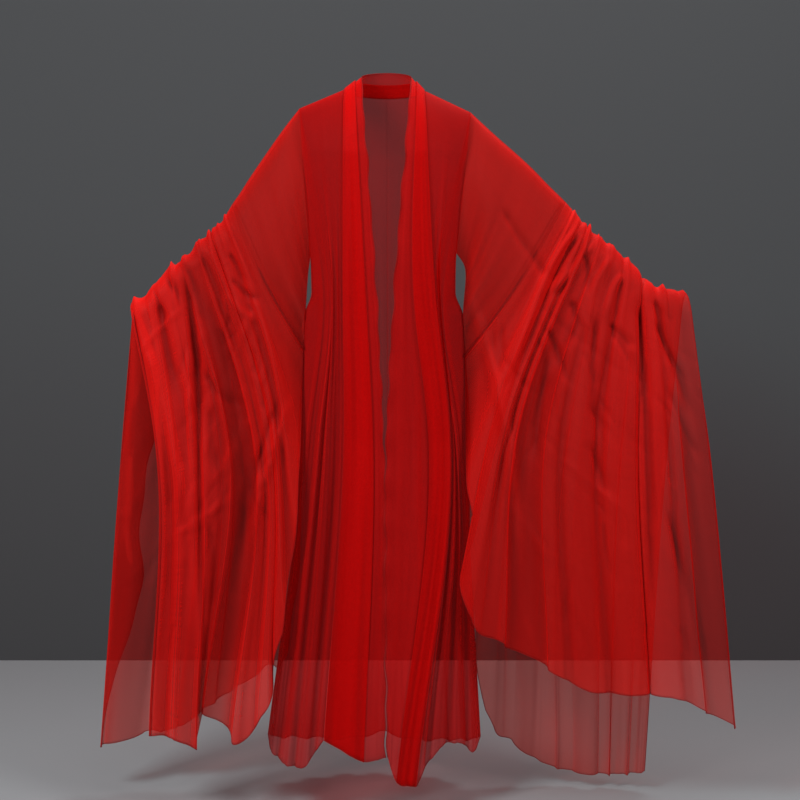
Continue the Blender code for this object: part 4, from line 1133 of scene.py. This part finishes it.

# %% [markdown]
# ## Ride and replace every piece
# Each cloth stands for the solid of the same name and moves with the one body of this part. The size
# each was cut to is worked out as well.

# %% Ride and replace
declared = (
    (sleeve_end_left, "sleeve_end_left", "sleeve_end_cloth", left),
    (sleeve_end_right, "sleeve_end_right", "sleeve_end_cloth", right),
    (sleeve_left, "sleeve_left", "sleeve_cloth", upper_left),
    (sleeve_right, "sleeve_right", "sleeve_cloth", upper_right),
    (front_cloth["left"], "front_left", "body_cloth", fronts_grid["left"]),
    (front_cloth["right"], "front_right", "body_cloth", fronts_grid["right"]),
    (back_cloth["left"], "back_left", "body_cloth", backs_grid["left"]),
    (back_cloth["right"], "back_right", "body_cloth", backs_grid["right"]),
    (collar, "collar_band", "collar_cloth", band_grid))
for piece, node, slot, grid in declared:
    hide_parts(node)
    for part in [piece, *trims[node]]:
        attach(part, "root")
    width, length, area = cloth_size(grid)

# %% [markdown]
# ## Floor, backdrop, light and camera
# The cloth is sheer, so what stands behind it is part of its colour: a plain grey backdrop lets one
# layer look dusky and several look bright. Two broad soft lights in front, a weak one above and one
# behind keep the folds readable without hard shadows.

# %% Stage
def plain_material(name, colour):
    """A plain matt surface."""
    material = bpy.data.materials.new(name)
    material.use_nodes = True
    shader = material.node_tree.nodes["Principled BSDF"]
    shader.inputs["Base Color"].default_value = (*colour, 1.0)
    shader.inputs["Roughness"].default_value = 0.9
    shader.inputs["Specular IOR Level"].default_value = 0.1
    return material


def stage_plane(name, corners, material):
    """A flat four-cornered surface for the floor or the backdrop."""
    mesh = bpy.data.meshes.new(name)
    mesh.from_pydata(corners, [], [(0, 1, 2, 3)])
    mesh.materials.append(material)
    plane = bpy.data.objects.new(name, mesh)
    bpy.context.scene.collection.objects.link(plane)


FLOOR_Z = -1.470
WALL_Y = 1.36
backdrop_grey = plain_material("grey backdrop", (0.075, 0.077, 0.080))
stage_plane("floor", [(-6, -8, FLOOR_Z), (6, -8, FLOOR_Z), (6, 6, FLOOR_Z), (-6, 6, FLOOR_Z)],
            plain_material("pale floor", (0.30, 0.30, 0.31)))
wall_foot = FLOOR_Z - 0.01
stage_plane("backdrop", [(-6, WALL_Y, wall_foot), (6, WALL_Y, wall_foot), (6, WALL_Y, 4), (-6, WALL_Y, 4)],
            backdrop_grey)

# The backdrop is only seen on its front: its other side lets the view of the robe's back through
nodes, links = backdrop_grey.node_tree.nodes, backdrop_grey.node_tree.links
side_seen = nodes.new("ShaderNodeNewGeometry")
nothing = nodes.new("ShaderNodeBsdfTransparent")
one_sided = nodes.new("ShaderNodeMixShader")
links.new(side_seen.outputs["Backfacing"], one_sided.inputs["Fac"])
links.new(nodes["Principled BSDF"].outputs[0], one_sided.inputs[1])
links.new(nothing.outputs[0], one_sided.inputs[2])
links.new(one_sided.outputs[0], nodes["Material Output"].inputs["Surface"])


def soft_light(name, place, aim, size, power):
    """A square area light that points at its aim."""
    data = bpy.data.lights.new(name, "AREA")
    data.shape = "SQUARE"
    data.size = size
    data.energy = power
    light = bpy.data.objects.new(name, data)
    light.location = place
    light.rotation_euler = (Vector(aim) - Vector(place)).to_track_quat("-Z", "Y").to_euler()
    bpy.context.scene.collection.objects.link(light)


soft_light("key light", (-1.7, -2.6, 1.5), (0.0, 0.0, -0.45), 1.0, 104.0)
soft_light("fill light", (2.3, -2.3, 1.1), (0.1, 0.0, -0.45), 1.2, 52.0)
soft_light("top light", (0.2, -0.6, 2.4), (0.0, 0.0, -0.6), 1.2, 20.0)
soft_light("back light", (0.7, 1.25, 2.0), (0.0, 0.0, -0.7), 1.2, 42.0)
world = bpy.data.worlds.new("studio")
world.use_nodes = True
world.node_tree.nodes["Background"].inputs["Color"].default_value = (0.9, 0.95, 1.0, 1.0)
world.node_tree.nodes["Background"].inputs["Strength"].default_value = 0.22
bpy.context.scene.world = world

# %% Camera
camera_data = bpy.data.cameras.new("camera")
FOCAL_IN_WIDTHS = 2039.0 / 800.0  # the focal length as a multiple of the image's width
camera_data.lens = FOCAL_IN_WIDTHS * camera_data.sensor_width
camera = bpy.data.objects.new("camera", camera_data)
camera.location = (0.027, -4.2, -0.26)
camera.rotation_euler = (math.radians(85.0), 0.0, 0.0)
bpy.context.scene.collection.objects.link(camera)
bpy.context.scene.camera = camera
bpy.context.scene.view_settings.view_transform = "Standard"
# A view may pass many thin layers. Light goes to and fro between them only once, which saves time
bpy.context.scene.cycles.transparent_max_bounces = 24
bpy.context.scene.cycles.max_bounces = 6
bpy.context.scene.cycles.diffuse_bounces = 1
print("camera lens", round(camera_data.lens, 1))
